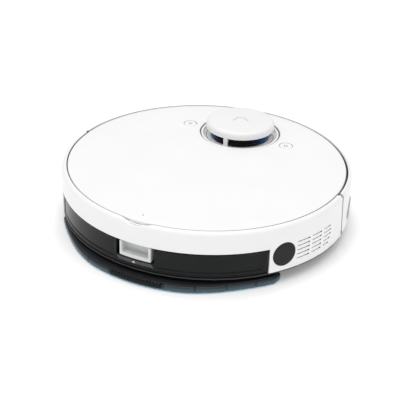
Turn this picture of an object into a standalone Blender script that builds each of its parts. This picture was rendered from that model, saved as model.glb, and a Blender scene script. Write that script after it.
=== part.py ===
"""Robot vacuum and mop: a round body with a scanning turret, a sprung bumper and a slide-out tank.

Metres, +Z up, standing on z = 0. The bumper faces -Y and the tank faces +Y.
Sizes are written in millimetres times MM. Places are measured from the centre of the round body.
"""

import math

import bmesh
import bpy
from mathutils import Matrix, Vector

MM = 0.001
SHELL_SIDES = 48            # facets round the body

# ---------------------------------------------------------------- driving dimensions
CLEAR = 0.3 * MM            # gap between pieces that seat on each other
RUN = 0.6 * MM              # gap round pieces that move

BODY_R = 175 * MM           # outside of the round body
SHELL_WALL = 2.4 * MM
SHOULDER_R = 5.8 * MM       # rounding where the side turns into the top
UNDERSIDE_Z = 10 * MM
FLOOR_T = 3.5 * MM          # chassis floor
RIM_TOP = 16.8 * MM         # chassis edge that the side shell stands on
RIM_LOW = 15.2 * MM
SHELL_TOP = 73.9 * MM
LID_RISE = 0.7 * MM         # how far the lid's flat middle stands over the shell
LID_SLOPE = 27.9 * MM       # width of the lid's sloping edge
LID_T = 2.4 * MM
LID_GAP = 1.3 * MM          # open line round the lid
DECK_T = 3 * MM             # inner deck under the lid
DECK_DROP = 4.6 * MM        # from the shell's top down to the deck
SKIRT_GAP = 9.6 * MM        # between the deck's skirt and the side shell

BUMPER_TRAVEL = 2 * MM
BUMPER_GAP = 4 * MM         # upright gap between bumper and side shell
SEAM_Y = -2 * MM            # where the side shell ends, at the bumper's mid height
SEAM_LEAN = 8 * MM          # how far that end leans over its height
FRONT_WINDOW = (152, 208)   # degrees from the rear
FRONT_WINDOW_Z = (27 * MM, 43 * MM)
SIDE_WINDOW = (100, 113)
SIDE_WINDOW_Z = (20 * MM, 45 * MM)
SIDE_WINDOW_PROUD = 1.5 * MM

TANK_ANGLE = 49.6           # half angle of the tank's outer wall, degrees
TANK_LOW = 17.4 * MM
TANK_HIGH = 46.6 * MM
TANK_GAP = 1.3 * MM
TANK_WALL = 2.2 * MM
TANK_FRONT_Y = 97 * MM
BIN_HALF_X = 91.5 * MM
BIN_GAP = 3 * MM            # between the brush housing and the dust box
BIN_WALL = 2 * MM
LATCH_HALF = 19.7 * MM
LATCH_POCKET_HALF = 23.6 * MM
LATCH_LOW = 28.5 * MM
POCKET_DEPTH = 35 * MM      # these three are measured in from the body's radius
LATCH_DEPTH = 22 * MM
RECESS_DEPTH = 15 * MM
FILL_HOLE = (70 * MM, 125 * MM)
FILL_R = 7 * MM

PORT_ANGLE = 56.2           # round port beside the tank, degrees from the rear
PORT_Z = 37.5 * MM
PORT_R = 14.5 * MM
SLIT_ROWS = (48.0, 42.7, 37.4, 32.1, 26.8)
SLIT_COLUMNS = ((62.0, 68.0), (69.4, 74.6), (76.3, 81.0))
SLIT_H = 1.8 * MM

TURRET_Y = -94.4 * MM
CAP_R = 43.5 * MM
CAP_H = 9.1 * MM
CAP_GAP = 8.3 * MM          # the laser's view between the lid and the cap
BOWL_GAP = 7.7 * MM         # how much wider the bowl is than the cap, in radius
ROTOR_INSET = 5.7 * MM
CAP_ROUND = 5 * MM
ROTOR_HUB_R = 17 * MM
POST_W = 5.6 * MM
POST_TURN = -1             # degrees from the rear to the first post of the turret cap
BELT_T = 1.2 * MM
PULLEY_R = 4.5 * MM
PULLEY_X = 46 * MM

BUTTON_X = 67.5 * MM
BUTTON_Y = -86.2 * MM
BUTTON_R = 8.2 * MM
BUTTON_TRAVEL = 0.6 * MM

PLATE_OVERHANG = 7 * MM     # how far the mop plate stands out at the middle of the rear
PLATE_LOW = 3.4 * MM
PLATE_FRONT_Y = 86 * MM
PLATE_ANGLE = 53            # half angle of its long edge, degrees
PLATE_CORNER_R = 11 * MM

WHEEL_R = 31 * MM
WHEEL_W = 24 * MM
WHEEL_X = 113 * MM          # middle of a drive wheel
RIM_R = 24 * MM
LUG_H = 1 * MM
LUGS = 12
ARM_W = 14 * MM
ARM_PIVOT = (36 * MM, 28 * MM)   # y and z of the swing arm's pin
ARM_END_Y = 44 * MM
PIN_R = 3 * MM

CASTER_Y = -138 * MM
CASTER_R = 13 * MM
CASTER_W = 11 * MM
CASTER_TRAIL = 4 * MM
YOKE_R = 16.5 * MM

BRUSH_R = 20 * MM
BRUSH_HALF = 82 * MM
BRUSH_Y = -2 * MM
BRUSH_LIFT = 2.5 * MM       # from the floor to the brush
BRUSH_CORE_R = 10 * MM
BRUSH_FINS = 6
TUNNEL_GAP = 2.5 * MM       # round the brush
BRUSH_END_GAP = 1.5 * MM
HOUSING_END_T = 4.5 * MM
DUCT_HALF = 28 * MM
DUCT_LOW = 25 * MM
DUCT_HIGH = 39 * MM

SIDE_BRUSH = (-112 * MM, -92 * MM)
SIDE_BRUSH_REACH = 58 * MM
FAN = (-122 * MM, 66 * MM)
FAN_R = 20 * MM
FAN_BLADES = 7
BATTERY_HALF = 60 * MM
BATTERY_Y = (-112 * MM, -56 * MM)
DOOR_HALF = 72 * MM
DOOR_LAP = 1 * MM
CONTACT_X = 38 * MM
CONTACT_Y = -150 * MM
CONTACT_HALF = (12 * MM, 4 * MM)
SCREW_AT = (66 * MM, -84 * MM)
SCREW_R = 1.4 * MM
SCREW_HEAD_R = 2.8 * MM
SCREW_GAP = 0.4 * MM
SPEAKER = (108 * MM, -86 * MM)

# ---------------------------------------------------------------- sizes that follow from those
FLOOR_TOP = UNDERSIDE_Z + FLOOR_T
SHELL_LOW = RIM_TOP + CLEAR
SHELL_INNER_R = BODY_R - SHELL_WALL
LIP_R = BODY_R - SHOULDER_R                 # inner edge of the side shell's shoulder
LID_R = LIP_R - LID_GAP
LID_FLAT_R = LID_R - LID_SLOPE
LID_TOP = SHELL_TOP + LID_RISE
DECK_TOP = SHELL_TOP - DECK_DROP
BUMPER_LIP_R = LID_R + BUMPER_TRAVEL + RUN
TANK_R = BODY_R - CLEAR
DECK_R = LID_R - RUN
DECK_LOW = DECK_TOP - DECK_T
SKIRT_R = SHELL_INNER_R - SKIRT_GAP
PLATE_R = BODY_R + PLATE_OVERHANG
DISC_Y = -PLATE_OVERHANG / 2                # puts the middle of the whole length on y = 0
CAP_LOW = LID_TOP + CAP_GAP
CAP_TOP = CAP_LOW + CAP_H
BOWL_R = CAP_R + BOWL_GAP
ROTOR_R = CAP_R - ROTOR_INSET
ROTOR_LOW = DECK_TOP + 1.9 * MM
ROTOR_TOP = CAP_LOW - 0.7 * MM
BELT_LOW = DECK_LOW - 5.3 * MM
BELT_HIGH = BELT_LOW + 3 * MM
BRUSH_Z = BRUSH_R + BRUSH_LIFT
TUNNEL_R = BRUSH_R + TUNNEL_GAP
BAY_HALF = BRUSH_HALF + BRUSH_END_GAP
HOUSING_HALF = BAY_HALF + HOUSING_END_T
HOUSING_FRONT_Y = BRUSH_Y - TUNNEL_R - 5.5 * MM
HOUSING_BACK_Y = BRUSH_Y + TUNNEL_R + 7.5 * MM
HOUSING_TOP = BRUSH_Z + TUNNEL_R + 2 * MM
BIN_FRONT_Y = HOUSING_BACK_Y + BIN_GAP
REACH = 2 * BODY_R                          # further than any edge, for cutters
BEYOND = (SHELL_INNER_R - 12 * MM, BODY_R + 15 * MM)   # radii that a wall's cutters run between

# ---------------------------------------------------------------- finishes: colour, roughness, metallic
WHITE = ((0.87, 0.87, 0.87), 0.32, 0.0)
SMOKED = ((0.035, 0.036, 0.04), 0.15, 0.0)
DARK = ((0.03, 0.03, 0.033), 0.5, 0.0)
GREY = ((0.25, 0.25, 0.26), 0.5, 0.0)
SILVER = ((0.55, 0.55, 0.54), 0.35, 0.0)
LENS = ((0.01, 0.01, 0.02), 0.05, 0.0)
RUBBER = ((0.02, 0.02, 0.02), 0.8, 0.0)
STEEL = ((0.5, 0.5, 0.52), 0.3, 1.0)
BRASS = ((0.7, 0.5, 0.2), 0.3, 1.0)
TEAL = ((0.1, 0.3, 0.36), 0.9, 0.0)
PAPER = ((0.8, 0.8, 0.75), 0.9, 0.0)
GREEN = ((0.02, 0.15, 0.06), 0.5, 0.0)
BLUE = ((0.05, 0.1, 0.3), 0.5, 0.0)

AXIS_TURN = {"X": (0, math.pi / 2, 0), "Y": (-math.pi / 2, 0, 0), "Z": (0, 0, 0)}


# ---------------------------------------------------------------- helpers
def clear_scene():
    for old in list(bpy.data.objects):
        bpy.data.objects.remove(old)


def new_collection(name):
    made = bpy.data.collections.new(name)
    bpy.context.scene.collection.children.link(made)
    return made


def new_finish(name, colour, roughness, metallic):
    made = bpy.data.materials.new(name + "_finish")
    made.use_nodes = True
    shader = made.node_tree.nodes["Principled BSDF"]
    shader.inputs["Base Color"].default_value = (*colour, 1)
    shader.inputs["Roughness"].default_value = roughness
    shader.inputs["Metallic"].default_value = metallic
    return made


def add_object(name, mesh, finish, at=(0, 0, 0), turn=(0, 0, 0)):
    """A part when it has a finish, or a cutter when finish is None, placed from the disc's centre."""
    made = bpy.data.objects.new(name, mesh)
    made.parent = disc
    made.location = at
    made.rotation_euler = turn
    if finish is None:
        cutters.objects.link(made)
        made.hide_render = True
        made.display_type = "WIRE"
    else:
        parts.objects.link(made)
        mesh.materials.append(new_finish(name, *finish))
    return made


def mesh_from(name, bm):
    mesh = bpy.data.meshes.new(name)
    bm.to_mesh(mesh)
    bm.free()
    mesh.shade_smooth()
    mesh.set_sharp_from_angle(angle=math.radians(35))
    return mesh


def block(name, low, high, finish=None, at=(0, 0, 0), rounding=0.0):
    """A box between two corners, with its origin at a chosen point."""
    low, high, at = Vector(low), Vector(high), Vector(at)
    bm = bmesh.new()
    size = high - low
    place = Matrix.Translation((low + high) / 2 - at) @ Matrix.Diagonal((*size, 1))
    bmesh.ops.create_cube(bm, size=1, matrix=place)
    made = add_object(name, mesh_from(name, bm), finish, at)
    if rounding:
        bevel = made.modifiers.new("rounding", "BEVEL")
        bevel.width = rounding
        bevel.segments = 2
    return made


def drum(name, radius, low, high, finish=None, at=(0, 0, 0), axis="Z", sides=24):
    """A cylinder along an axis, from low to high measured from its origin."""
    bm = bmesh.new()
    middle = Matrix.Translation((0, 0, (low + high) / 2))
    bmesh.ops.create_cone(
        bm, cap_ends=True, segments=sides, radius1=radius, radius2=radius, depth=high - low, matrix=middle
    )
    return add_object(name, mesh_from(name, bm), finish, at, AXIS_TURN[axis])


def turned(name, profile, finish=None, at=(0, 0, 0), axis="Z", sides=32):
    """A profile of (radius, height) points turned round an axis. The points run down the outer side."""
    on_axis = profile[0][0] == 0
    bm = bmesh.new()
    points = [bm.verts.new((radius, 0, height)) for radius, height in profile]
    pairs = list(zip(points, points[1:]))
    if not on_axis:
        pairs.append((points[-1], points[0]))
    for first, second in pairs:
        bm.edges.new((first, second))
    made = add_object(name, mesh_from(name, bm), finish, at, AXIS_TURN[axis])
    screw = made.modifiers.new("turn", "SCREW")
    screw.steps = sides
    screw.render_steps = sides
    screw.use_merge_vertices = True
    screw.merge_threshold = 0.01 * MM
    return made


def ring(name, inner, outer, low, high, finish=None, at=(0, 0, 0), axis="Z", sides=24):
    return turned(name, [(outer, high), (outer, low), (inner, low), (inner, high)], finish, at, axis, sides)


def plate(name, outline, low, high, finish=None, at=(0, 0, 0)):
    """A flat outline, given from its origin, made as thick as low to high."""
    curve = bpy.data.curves.new(name, "CURVE")
    curve.dimensions = "2D"
    curve.fill_mode = "BOTH"
    curve.extrude = (high - low) / 2
    spline = curve.splines.new("POLY")
    spline.points.add(len(outline) - 1)
    for point, (x, y) in zip(spline.points, outline):
        point.co = (x, y, 0, 1)
    spline.use_cyclic_u = True
    guide = bpy.data.objects.new(name + "_curve", curve)
    cutters.objects.link(guide)
    bm = bmesh.new()
    bm.from_mesh(bpy.data.meshes.new_from_object(guide.evaluated_get(bpy.context.evaluated_depsgraph_get())))
    bmesh.ops.remove_doubles(bm, verts=bm.verts, dist=0.01 * MM)
    bmesh.ops.translate(bm, verts=bm.verts, vec=(0, 0, (low + high) / 2))
    bmesh.ops.recalc_face_normals(bm, faces=bm.faces)
    bpy.data.objects.remove(guide)
    return add_object(name, mesh_from(name, bm), finish, at)


def band(name, outline, low, high, thickness, finish, at):
    """A closed strip that stands on an outline, thickened outward."""
    bm = bmesh.new()
    rows = [[bm.verts.new((x, y, z)) for x, y in outline] for z in (low, high)]
    for i in range(len(outline)):
        bm.faces.new((rows[0][i - 1], rows[0][i], rows[1][i], rows[1][i - 1]))
    made = add_object(name, mesh_from(name, bm), finish, at)
    solidify = made.modifiers.new("thickness", "SOLIDIFY")
    solidify.thickness = thickness
    solidify.offset = 1
    return made


def boxes(name, places, size, finish=None, at=(0, 0, 0), turn=(0, 0, 0)):
    """Several equal boxes in one object, one at each matrix."""
    bm = bmesh.new()
    for place in places:
        bmesh.ops.create_cube(bm, size=1, matrix=place @ Matrix.Diagonal((*size, 1)))
    return add_object(name, mesh_from(name, bm), finish, at, turn)


def combine(target, operation, others):
    for other in others:
        step = target.modifiers.new(operation.lower(), "BOOLEAN")
        step.operation = operation
        step.solver = "EXACT"
        step.object = other
    return target


def cut(target, *others):
    return combine(target, "DIFFERENCE", others)


def join(target, *others):
    return combine(target, "UNION", others)


def keep(target, *others):
    return combine(target, "INTERSECT", others)


def polar(radius, angle):
    """A place at an angle in degrees from the rear, growing towards -X."""
    return (-radius * math.sin(math.radians(angle)), radius * math.cos(math.radians(angle)))


def arc(radius, first, last, steps):
    return [polar(radius, first + (last - first) * i / steps) for i in range(steps + 1)]


def sector(inner, outer, first, last, steps=12):
    return arc(outer, first, last, steps) + arc(inner, last, first, steps)


def shoulder(lip, wall=0.0, steps=3):
    """Points round the shell's shoulder, from its lip to its side, moved in by the wall."""
    rounding = BODY_R - lip
    centre_z = SHELL_TOP - rounding
    angles = [math.pi / 2 * i / steps for i in range(steps + 1)]
    reach = rounding - wall
    return [(lip + reach * math.sin(a), centre_z + reach * math.cos(a)) for a in angles]


def radial_turn(angle):
    """Turns local +Z to point outward at an angle from the rear."""
    return (-math.pi / 2, 0, math.radians(angle))


# ---------------------------------------------------------------- outer shells
def seam_box(name, y, keep_rear):
    """A large box whose one face is the leaning plane of the bumper's seam."""
    height = SHELL_TOP - SHELL_LOW
    low_y = -REACH if keep_rear else 0
    made = block(name, (-REACH, low_y, -REACH), (REACH, low_y + REACH, REACH))
    made.location = (0, y, (SHELL_TOP + SHELL_LOW) / 2)
    made.rotation_euler = (-math.atan(SEAM_LEAN / height), 0, 0)
    return made


def shell_profile(lip):
    inside = shoulder(lip, SHELL_WALL)
    return shoulder(lip) + [(BODY_R, SHELL_LOW), (SHELL_INNER_R, SHELL_LOW)] + inside[::-1]


def make_side_shell():
    shell = turned("side_shell", shell_profile(LIP_R), WHITE, sides=SHELL_SIDES)
    tank_hole = plate("tank_hole", sector(*BEYOND, -TANK_ANGLE - 0.5, TANK_ANGLE + 0.5, 24),
                      0, TANK_HIGH + TANK_GAP)
    port_at = (*polar(BODY_R, PORT_ANGLE), PORT_Z)
    port_hole = drum("port_hole", PORT_R + CLEAR, -10 * MM, 10 * MM, at=port_at)
    port_hole.rotation_euler = radial_turn(PORT_ANGLE)
    bm = bmesh.new()
    for row in SLIT_ROWS:
        for first, last in SLIT_COLUMNS:
            middle = math.radians((first + last) / 2)
            length = BODY_R * math.radians(last - first)
            place = (
                Matrix.Rotation(middle, 4, "Z")
                @ Matrix.Translation((0, BODY_R, row * MM))
                @ Matrix.Diagonal((length, 12 * MM, SLIT_H, 1))
            )
            bmesh.ops.create_cube(bm, size=1, matrix=place)
    slits = add_object("slits", mesh_from("slits", bm), None)
    notch_r = 47 * MM
    notch = drum("finger_notch", notch_r, SHELL_INNER_R - 8 * MM, BODY_R + 5 * MM, axis="Y", sides=48)
    notch.location = (0, 0, SHELL_TOP - 4 * MM + notch_r)
    cut(shell, seam_box("shell_end", SEAM_Y, True), tank_hole, port_hole, slits, notch)


def make_bumper():
    bumper = turned("bumper", shell_profile(BUMPER_LIP_R), WHITE, sides=SHELL_SIDES)
    front = plate("front_window_hole", sector(*BEYOND, *FRONT_WINDOW), *FRONT_WINDOW_Z)
    side = plate("side_window_hole", sector(*BEYOND, *SIDE_WINDOW, 6), *SIDE_WINDOW_Z)
    cut(bumper, seam_box("bumper_end", SEAM_Y - BUMPER_GAP, False), front, side)
    margin = math.degrees(CLEAR / BODY_R)
    first, last = FRONT_WINDOW
    low, high = FRONT_WINDOW_Z
    plate("bumper_window", sector(SHELL_INNER_R, BODY_R, first + margin, last - margin),
          low + CLEAR, high - CLEAR, LENS)
    first, last = SIDE_WINDOW
    low, high = SIDE_WINDOW_Z
    plate("side_window", sector(SHELL_INNER_R, BODY_R + SIDE_WINDOW_PROUD, first + margin, last - margin, 6),
          low + CLEAR, high - CLEAR, GREY)


def make_lid():
    lip_low = SHELL_TOP - LID_T - 1.4 * MM
    lid = turned("top_cover", [
        (0, LID_TOP), (LID_FLAT_R, LID_TOP), (LID_R - 1 * MM, SHELL_TOP), (LID_R, SHELL_TOP - 1 * MM),
        (LID_R, lip_low), (LID_R - LID_T, lip_low), (LID_R - LID_T, SHELL_TOP - LID_T),
        (LID_FLAT_R, LID_TOP - LID_T), (0, LID_TOP - LID_T),
    ], WHITE, sides=SHELL_SIDES)
    cut(lid, drum("turret_hole", BOWL_R + RUN, 0, REACH, at=(0, TURRET_Y, 0), sides=32))
    for side, name in ((1, "home"), (-1, "power")):
        cut(lid, drum(name + "_hole", BUTTON_R + RUN, 0, REACH, at=(side * BUTTON_X, BUTTON_Y, 0)))


def make_buttons():
    stem_r = 3 * MM
    stem_low = DECK_TOP + BUTTON_TRAVEL + CLEAR
    for side, name in ((1, "home_button"), (-1, "power_button")):
        turned(name, [
            (0, LID_TOP), (BUTTON_R, LID_TOP), (BUTTON_R, LID_TOP - LID_T),
            (stem_r, LID_TOP - LID_T), (stem_r, stem_low), (0, stem_low),
        ], WHITE, at=(side * BUTTON_X, BUTTON_Y, 0), sides=32)


def make_port_plug():
    plug = turned("port_plug", [
        (0, 0.3 * MM), (PORT_R - 1 * MM, 0.3 * MM), (PORT_R, -0.7 * MM), (PORT_R, -4 * MM),
        (PORT_R - 3 * MM, -4 * MM), (PORT_R - 3 * MM, -7 * MM), (0, -7 * MM),
    ], DARK, at=(*polar(BODY_R, PORT_ANGLE), PORT_Z), sides=24)
    plug.rotation_euler = radial_turn(PORT_ANGLE)


# ---------------------------------------------------------------- chassis and deck
def make_chassis():
    chassis = turned("chassis", [
        (0, FLOOR_TOP), (SKIRT_R + RUN, FLOOR_TOP), (SKIRT_R + RUN, RIM_TOP), (BODY_R - 0.5 * MM, RIM_TOP),
        (BODY_R - 0.5 * MM, RIM_LOW), (SKIRT_R + 3 * MM, UNDERSIDE_Z), (0, UNDERSIDE_Z),
    ], DARK, sides=SHELL_SIDES)
    through = (0, 30 * MM)
    top = through[1]
    cut(chassis, block("brush_mouth", (-BAY_HALF, BRUSH_Y - TUNNEL_R, 0),
                       (BAY_HALF, BRUSH_Y + TUNNEL_R, top)))
    half_x, half_y = (half + CLEAR for half in CONTACT_HALF)
    inner = WHEEL_X - WHEEL_W / 2 - 3 * MM
    outer = WHEEL_X + WHEEL_W / 2 + ARM_W + 6 * MM
    for side, end in ((1, "L"), (-1, "R")):
        low_x, high_x = sorted((side * inner, side * outer))
        wheel_hole = block("wheel_hole_" + end, (low_x, -WHEEL_R - 7 * MM, 0),
                           (high_x, ARM_END_Y + 6 * MM, top))
        contact_hole = block("contact_hole_" + end, (side * CONTACT_X - half_x, CONTACT_Y - half_y, 0),
                             (side * CONTACT_X + half_x, CONTACT_Y + half_y, top))
        screw_hole = drum("door_screw_hole_" + end, SCREW_R + SCREW_GAP, *through,
                          at=(side * SCREW_AT[0], SCREW_AT[1], 0))
        cut(chassis, wheel_hole, contact_hole, screw_hole)
    cut(chassis, drum("caster_hole", YOKE_R + 4.9 * MM, *through, at=(0, CASTER_Y, 0)))
    cut(chassis, drum("side_brush_hole", 5 * MM, *through, at=(*SIDE_BRUSH, 0)))
    cut(chassis, block("battery_hole", (-DOOR_HALF - CLEAR, BATTERY_Y[0] - DOOR_LAP - CLEAR, 0),
                       (DOOR_HALF + CLEAR, BATTERY_Y[1] + DOOR_LAP + CLEAR, top)))


def make_deck():
    frame = turned("main_frame", [
        (0, DECK_TOP), (DECK_R, DECK_TOP), (DECK_R, DECK_LOW), (SKIRT_R, DECK_LOW), (SKIRT_R, RIM_LOW),
        (SKIRT_R - 2.4 * MM, RIM_LOW), (SKIRT_R - 2.4 * MM, DECK_LOW), (0, DECK_LOW),
    ], GREY, sides=SHELL_SIDES)
    rear = block("rear_of_skirt", (-REACH, SEAM_Y, 0), (REACH, REACH, DECK_LOW))
    cut(frame, rear, drum("hub_hole", ROTOR_HUB_R + 7 * MM, DECK_LOW - 5 * MM, REACH, at=(0, TURRET_Y, 0)))
    posts = [(side * (BIN_HALF_X + 5.5 * MM), BIN_FRONT_Y + 9 * MM) for side in (1, -1)]
    posts += [polar(SKIRT_R - 3 * MM, side * (TANK_ANGLE + 5.4)) for side in (1, -1)]
    for number, (x, y) in enumerate(posts):
        post = drum(f"post_{number}", 3 * MM, FLOOR_TOP + CLEAR, DECK_LOW + 1 * MM, at=(x, y, 0), sides=12)
        join(frame, post)
    roof_half = BIN_HALF_X + 6.5 * MM
    roof_low = TANK_HIGH + TANK_GAP + CLEAR
    join(frame, block("bay_roof", (-roof_half, HOUSING_BACK_Y + 1 * MM, roof_low),
                      (roof_half, TANK_FRONT_Y + 21 * MM, roof_low + 2 * MM)))


# ---------------------------------------------------------------- scanning turret
def belt_line(big, small, distance, steps=6):
    """The outline of a belt round two wheels, the big one at the origin and the small one on +X."""
    lean = math.acos((big - small) / distance)
    around_big = [lean + (2 * math.pi - 2 * lean) * i / (2 * steps) for i in range(2 * steps + 1)]
    around_small = [-lean + 2 * lean * i / steps for i in range(steps + 1)]
    line = [(big * math.cos(a), big * math.sin(a)) for a in around_big]
    return line + [(distance + small * math.cos(a), small * math.sin(a)) for a in around_small]


def make_turret():
    at = (0, TURRET_Y, 0)
    turned("turret_bowl", [
        (BOWL_R - 1.6 * MM, SHELL_TOP - 1 * MM), (BOWL_R, SHELL_TOP - 1.6 * MM), (BOWL_R, DECK_TOP + CLEAR),
        (CAP_R - 0.1 * MM, DECK_TOP + CLEAR), (CAP_R - 0.1 * MM, DECK_TOP + 1.1 * MM),
    ], WHITE, at, sides=32)
    cap_curve = [
        (CAP_R - CAP_ROUND + CAP_ROUND * math.sin(a), CAP_TOP - CAP_ROUND + CAP_ROUND * math.cos(a))
        for a in (math.pi / 2 * i / 3 for i in range(4))
    ]
    under = CAP_LOW + 1.5 * MM
    cap = turned("turret_cap", [(0, CAP_TOP)] + cap_curve + [
        (CAP_R, CAP_LOW), (CAP_R - 2.4 * MM, CAP_LOW), (CAP_R - 3.6 * MM, under), (0, under),
    ], WHITE, at, sides=32)
    foot = DECK_TOP + 1.6 * MM
    for number in range(3):
        angle = math.radians(POST_TURN + 120 * number)
        place = Matrix.Rotation(angle, 4, "Z") @ Matrix.Translation((0, CAP_R - 2.6 * MM, (foot + under) / 2))
        join(cap, boxes(f"cap_post_{number}", [place], (POST_W, 3.4 * MM, under - foot + 1 * MM), at=at))
    ring("lidar_base", ROTOR_HUB_R + 7 * MM, CAP_R - 0.8 * MM, DECK_TOP + CLEAR, DECK_TOP + 1.1 * MM,
         GREY, at)
    hub_low = BELT_LOW - 2 * MM
    shaft_low = BELT_LOW - 9 * MM
    shaft_r = 5.7 * MM
    rotor = turned("lidar_rotor", [
        (0, ROTOR_TOP), (ROTOR_R, ROTOR_TOP), (ROTOR_R, ROTOR_LOW), (ROTOR_HUB_R, ROTOR_LOW),
        (ROTOR_HUB_R, hub_low), (shaft_r, hub_low), (shaft_r, shaft_low), (0, shaft_low),
    ], DARK, at, sides=32)
    lens_r = 3.3 * MM
    lens_back = ROTOR_R - 7.7 * MM
    lens_at = (0, TURRET_Y, (ROTOR_LOW + ROTOR_TOP) / 2)
    cut(rotor, drum("lens_bore", lens_r + CLEAR, lens_back - CLEAR, ROTOR_R + 5 * MM, None, lens_at, "Y", 20))
    drum("lidar_lens", lens_r, lens_back, ROTOR_R - 1.5 * MM, LENS, lens_at, "Y", 20)
    ring("lidar_bearing", shaft_r + CLEAR, 11 * MM, shaft_low, hub_low - 0.4 * MM, STEEL, at, sides=24)
    band("lidar_belt", belt_line(ROTOR_HUB_R + 2 * CLEAR, PULLEY_R + 2 * CLEAR, PULLEY_X),
         BELT_LOW, BELT_HIGH, BELT_T, RUBBER, at)
    motor_at = (PULLEY_X, TURRET_Y, 0)
    ring("lidar_pulley", 1.3 * MM, PULLEY_R, BELT_LOW - 1 * MM, BELT_HIGH + 1 * MM, WHITE, motor_at, sides=24)
    turned("lidar_motor", [
        (0, BELT_HIGH + 1.5 * MM), (1 * MM, BELT_HIGH + 1.5 * MM), (1 * MM, BELT_LOW - 2 * MM),
        (8 * MM, BELT_LOW - 2 * MM), (8 * MM, BELT_LOW - 11 * MM), (0, BELT_LOW - 11 * MM),
    ], STEEL, motor_at, sides=24)


# ---------------------------------------------------------------- tank, dust box and latch
def tank_outline(inset):
    """The tank's own part: the outer arc, with straight sides down to its front wall."""
    angle = TANK_ANGLE - math.degrees(inset / TANK_R)
    rim = arc(TANK_R - inset, -angle, angle, 16)
    half, side_y = polar(SHELL_INNER_R - 5 * MM - inset, -angle)
    front_y = TANK_FRONT_Y + inset
    return rim + [(-half, side_y), (-half, front_y), (half, front_y), (half, side_y)]


def make_tank():
    tank = plate("water_tank", tank_outline(0), TANK_LOW, TANK_HIGH, SMOKED)
    hollow = plate("tank_hollow", tank_outline(TANK_WALL), TANK_LOW + TANK_WALL, TANK_HIGH - TANK_WALL)
    pocket_y = BODY_R - POCKET_DEPTH
    wall_half = LATCH_POCKET_HALF + TANK_WALL
    cut(hollow, block("pocket_wall", (-wall_half, pocket_y - TANK_WALL, LATCH_LOW - TANK_WALL),
                      (wall_half, REACH, REACH)))
    pocket = block("latch_pocket", (-LATCH_POCKET_HALF, pocket_y, LATCH_LOW - CLEAR),
                   (LATCH_POCKET_HALF, REACH, REACH))
    fill_at = (*FILL_HOLE, 0)
    cut(tank, hollow, pocket, drum("fill_hole", FILL_R, TANK_HIGH - 2 * TANK_WALL, REACH, at=fill_at))
    drum("water_plug", FILL_R - CLEAR, TANK_HIGH - TANK_WALL, TANK_HIGH, RUBBER, at=fill_at)

    latch_y = BODY_R - LATCH_DEPTH
    latch = block("tank_latch", (-LATCH_HALF, latch_y, LATCH_LOW), (LATCH_HALF, REACH, TANK_HIGH), SILVER,
                  at=(0, latch_y, LATCH_LOW))
    keep(latch, drum("latch_front", TANK_R - 0.2 * MM, 0, REACH, sides=96))
    frame_w = 4.2 * MM
    recess_half = LATCH_HALF - frame_w
    cut(latch, block("latch_recess", (-recess_half, BODY_R - RECESS_DEPTH, LATCH_LOW + 4.5 * MM),
                     (recess_half, REACH, REACH)))


def make_dust_box():
    bin_back = TANK_FRONT_Y - CLEAR
    bin_high = TANK_HIGH - 2.1 * MM
    dust_box = block("dust_box", (-BIN_HALF_X, BIN_FRONT_Y, TANK_LOW), (BIN_HALF_X, bin_back, bin_high),
                     SMOKED)
    inside = block("bin_hollow", (-BIN_HALF_X + BIN_WALL, BIN_FRONT_Y + BIN_WALL, TANK_LOW + BIN_WALL),
                   (BIN_HALF_X - BIN_WALL, bin_back - BIN_WALL, REACH))
    through = 5 * MM
    inlet = block("bin_inlet", (-DUCT_HALF, BIN_FRONT_Y - through, DUCT_LOW),
                  (DUCT_HALF, BIN_FRONT_Y + through, DUCT_HIGH))
    outlet = block("bin_outlet", (-BIN_HALF_X - through, 50 * MM, 23 * MM),
                   (-BIN_HALF_X + through, 82 * MM, 41 * MM))
    cut(dust_box, inside, inlet, outlet)
    block("bin_lid", (-BIN_HALF_X, BIN_FRONT_Y, bin_high + CLEAR), (BIN_HALF_X, bin_back, TANK_HIGH), SMOKED)
    block("filter", (-BIN_HALF_X + BIN_WALL + CLEAR, 47 * MM, 21 * MM),
          (-BIN_HALF_X + BIN_WALL + 9 * MM, 85 * MM, 43 * MM), PAPER)


# ---------------------------------------------------------------- mop plate and pad
def plate_outline(inset):
    """The rear edge stands out past the body in its middle and runs back to the body's radius at its ends."""
    rear = []
    steps = 36
    for i in range(steps + 1):
        angle = -PLATE_ANGLE + 2 * PLATE_ANGLE * i / steps
        share = min(1, max(0, (abs(angle) - 15) / 30))
        ease = share * share * (3 - 2 * share)
        rear.append(polar(PLATE_R - PLATE_OVERHANG * ease - inset, angle))
    corner_x = abs(rear[0][0]) - PLATE_CORNER_R + 2 * MM
    corner_y = PLATE_FRONT_Y + PLATE_CORNER_R
    reach = PLATE_CORNER_R - inset
    left = [(-corner_x - reach * math.cos(a), corner_y - reach * math.sin(a))
            for a in (math.pi / 2 * i / 5 for i in range(6))]
    return rear + left + [(-x, y) for x, y in left[::-1]]


def make_mop():
    plate("mop_plate", plate_outline(0), PLATE_LOW, UNDERSIDE_Z - CLEAR, SMOKED)
    plate("mop_pad", plate_outline(0.6 * MM), 0, PLATE_LOW - CLEAR, TEAL)


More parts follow.
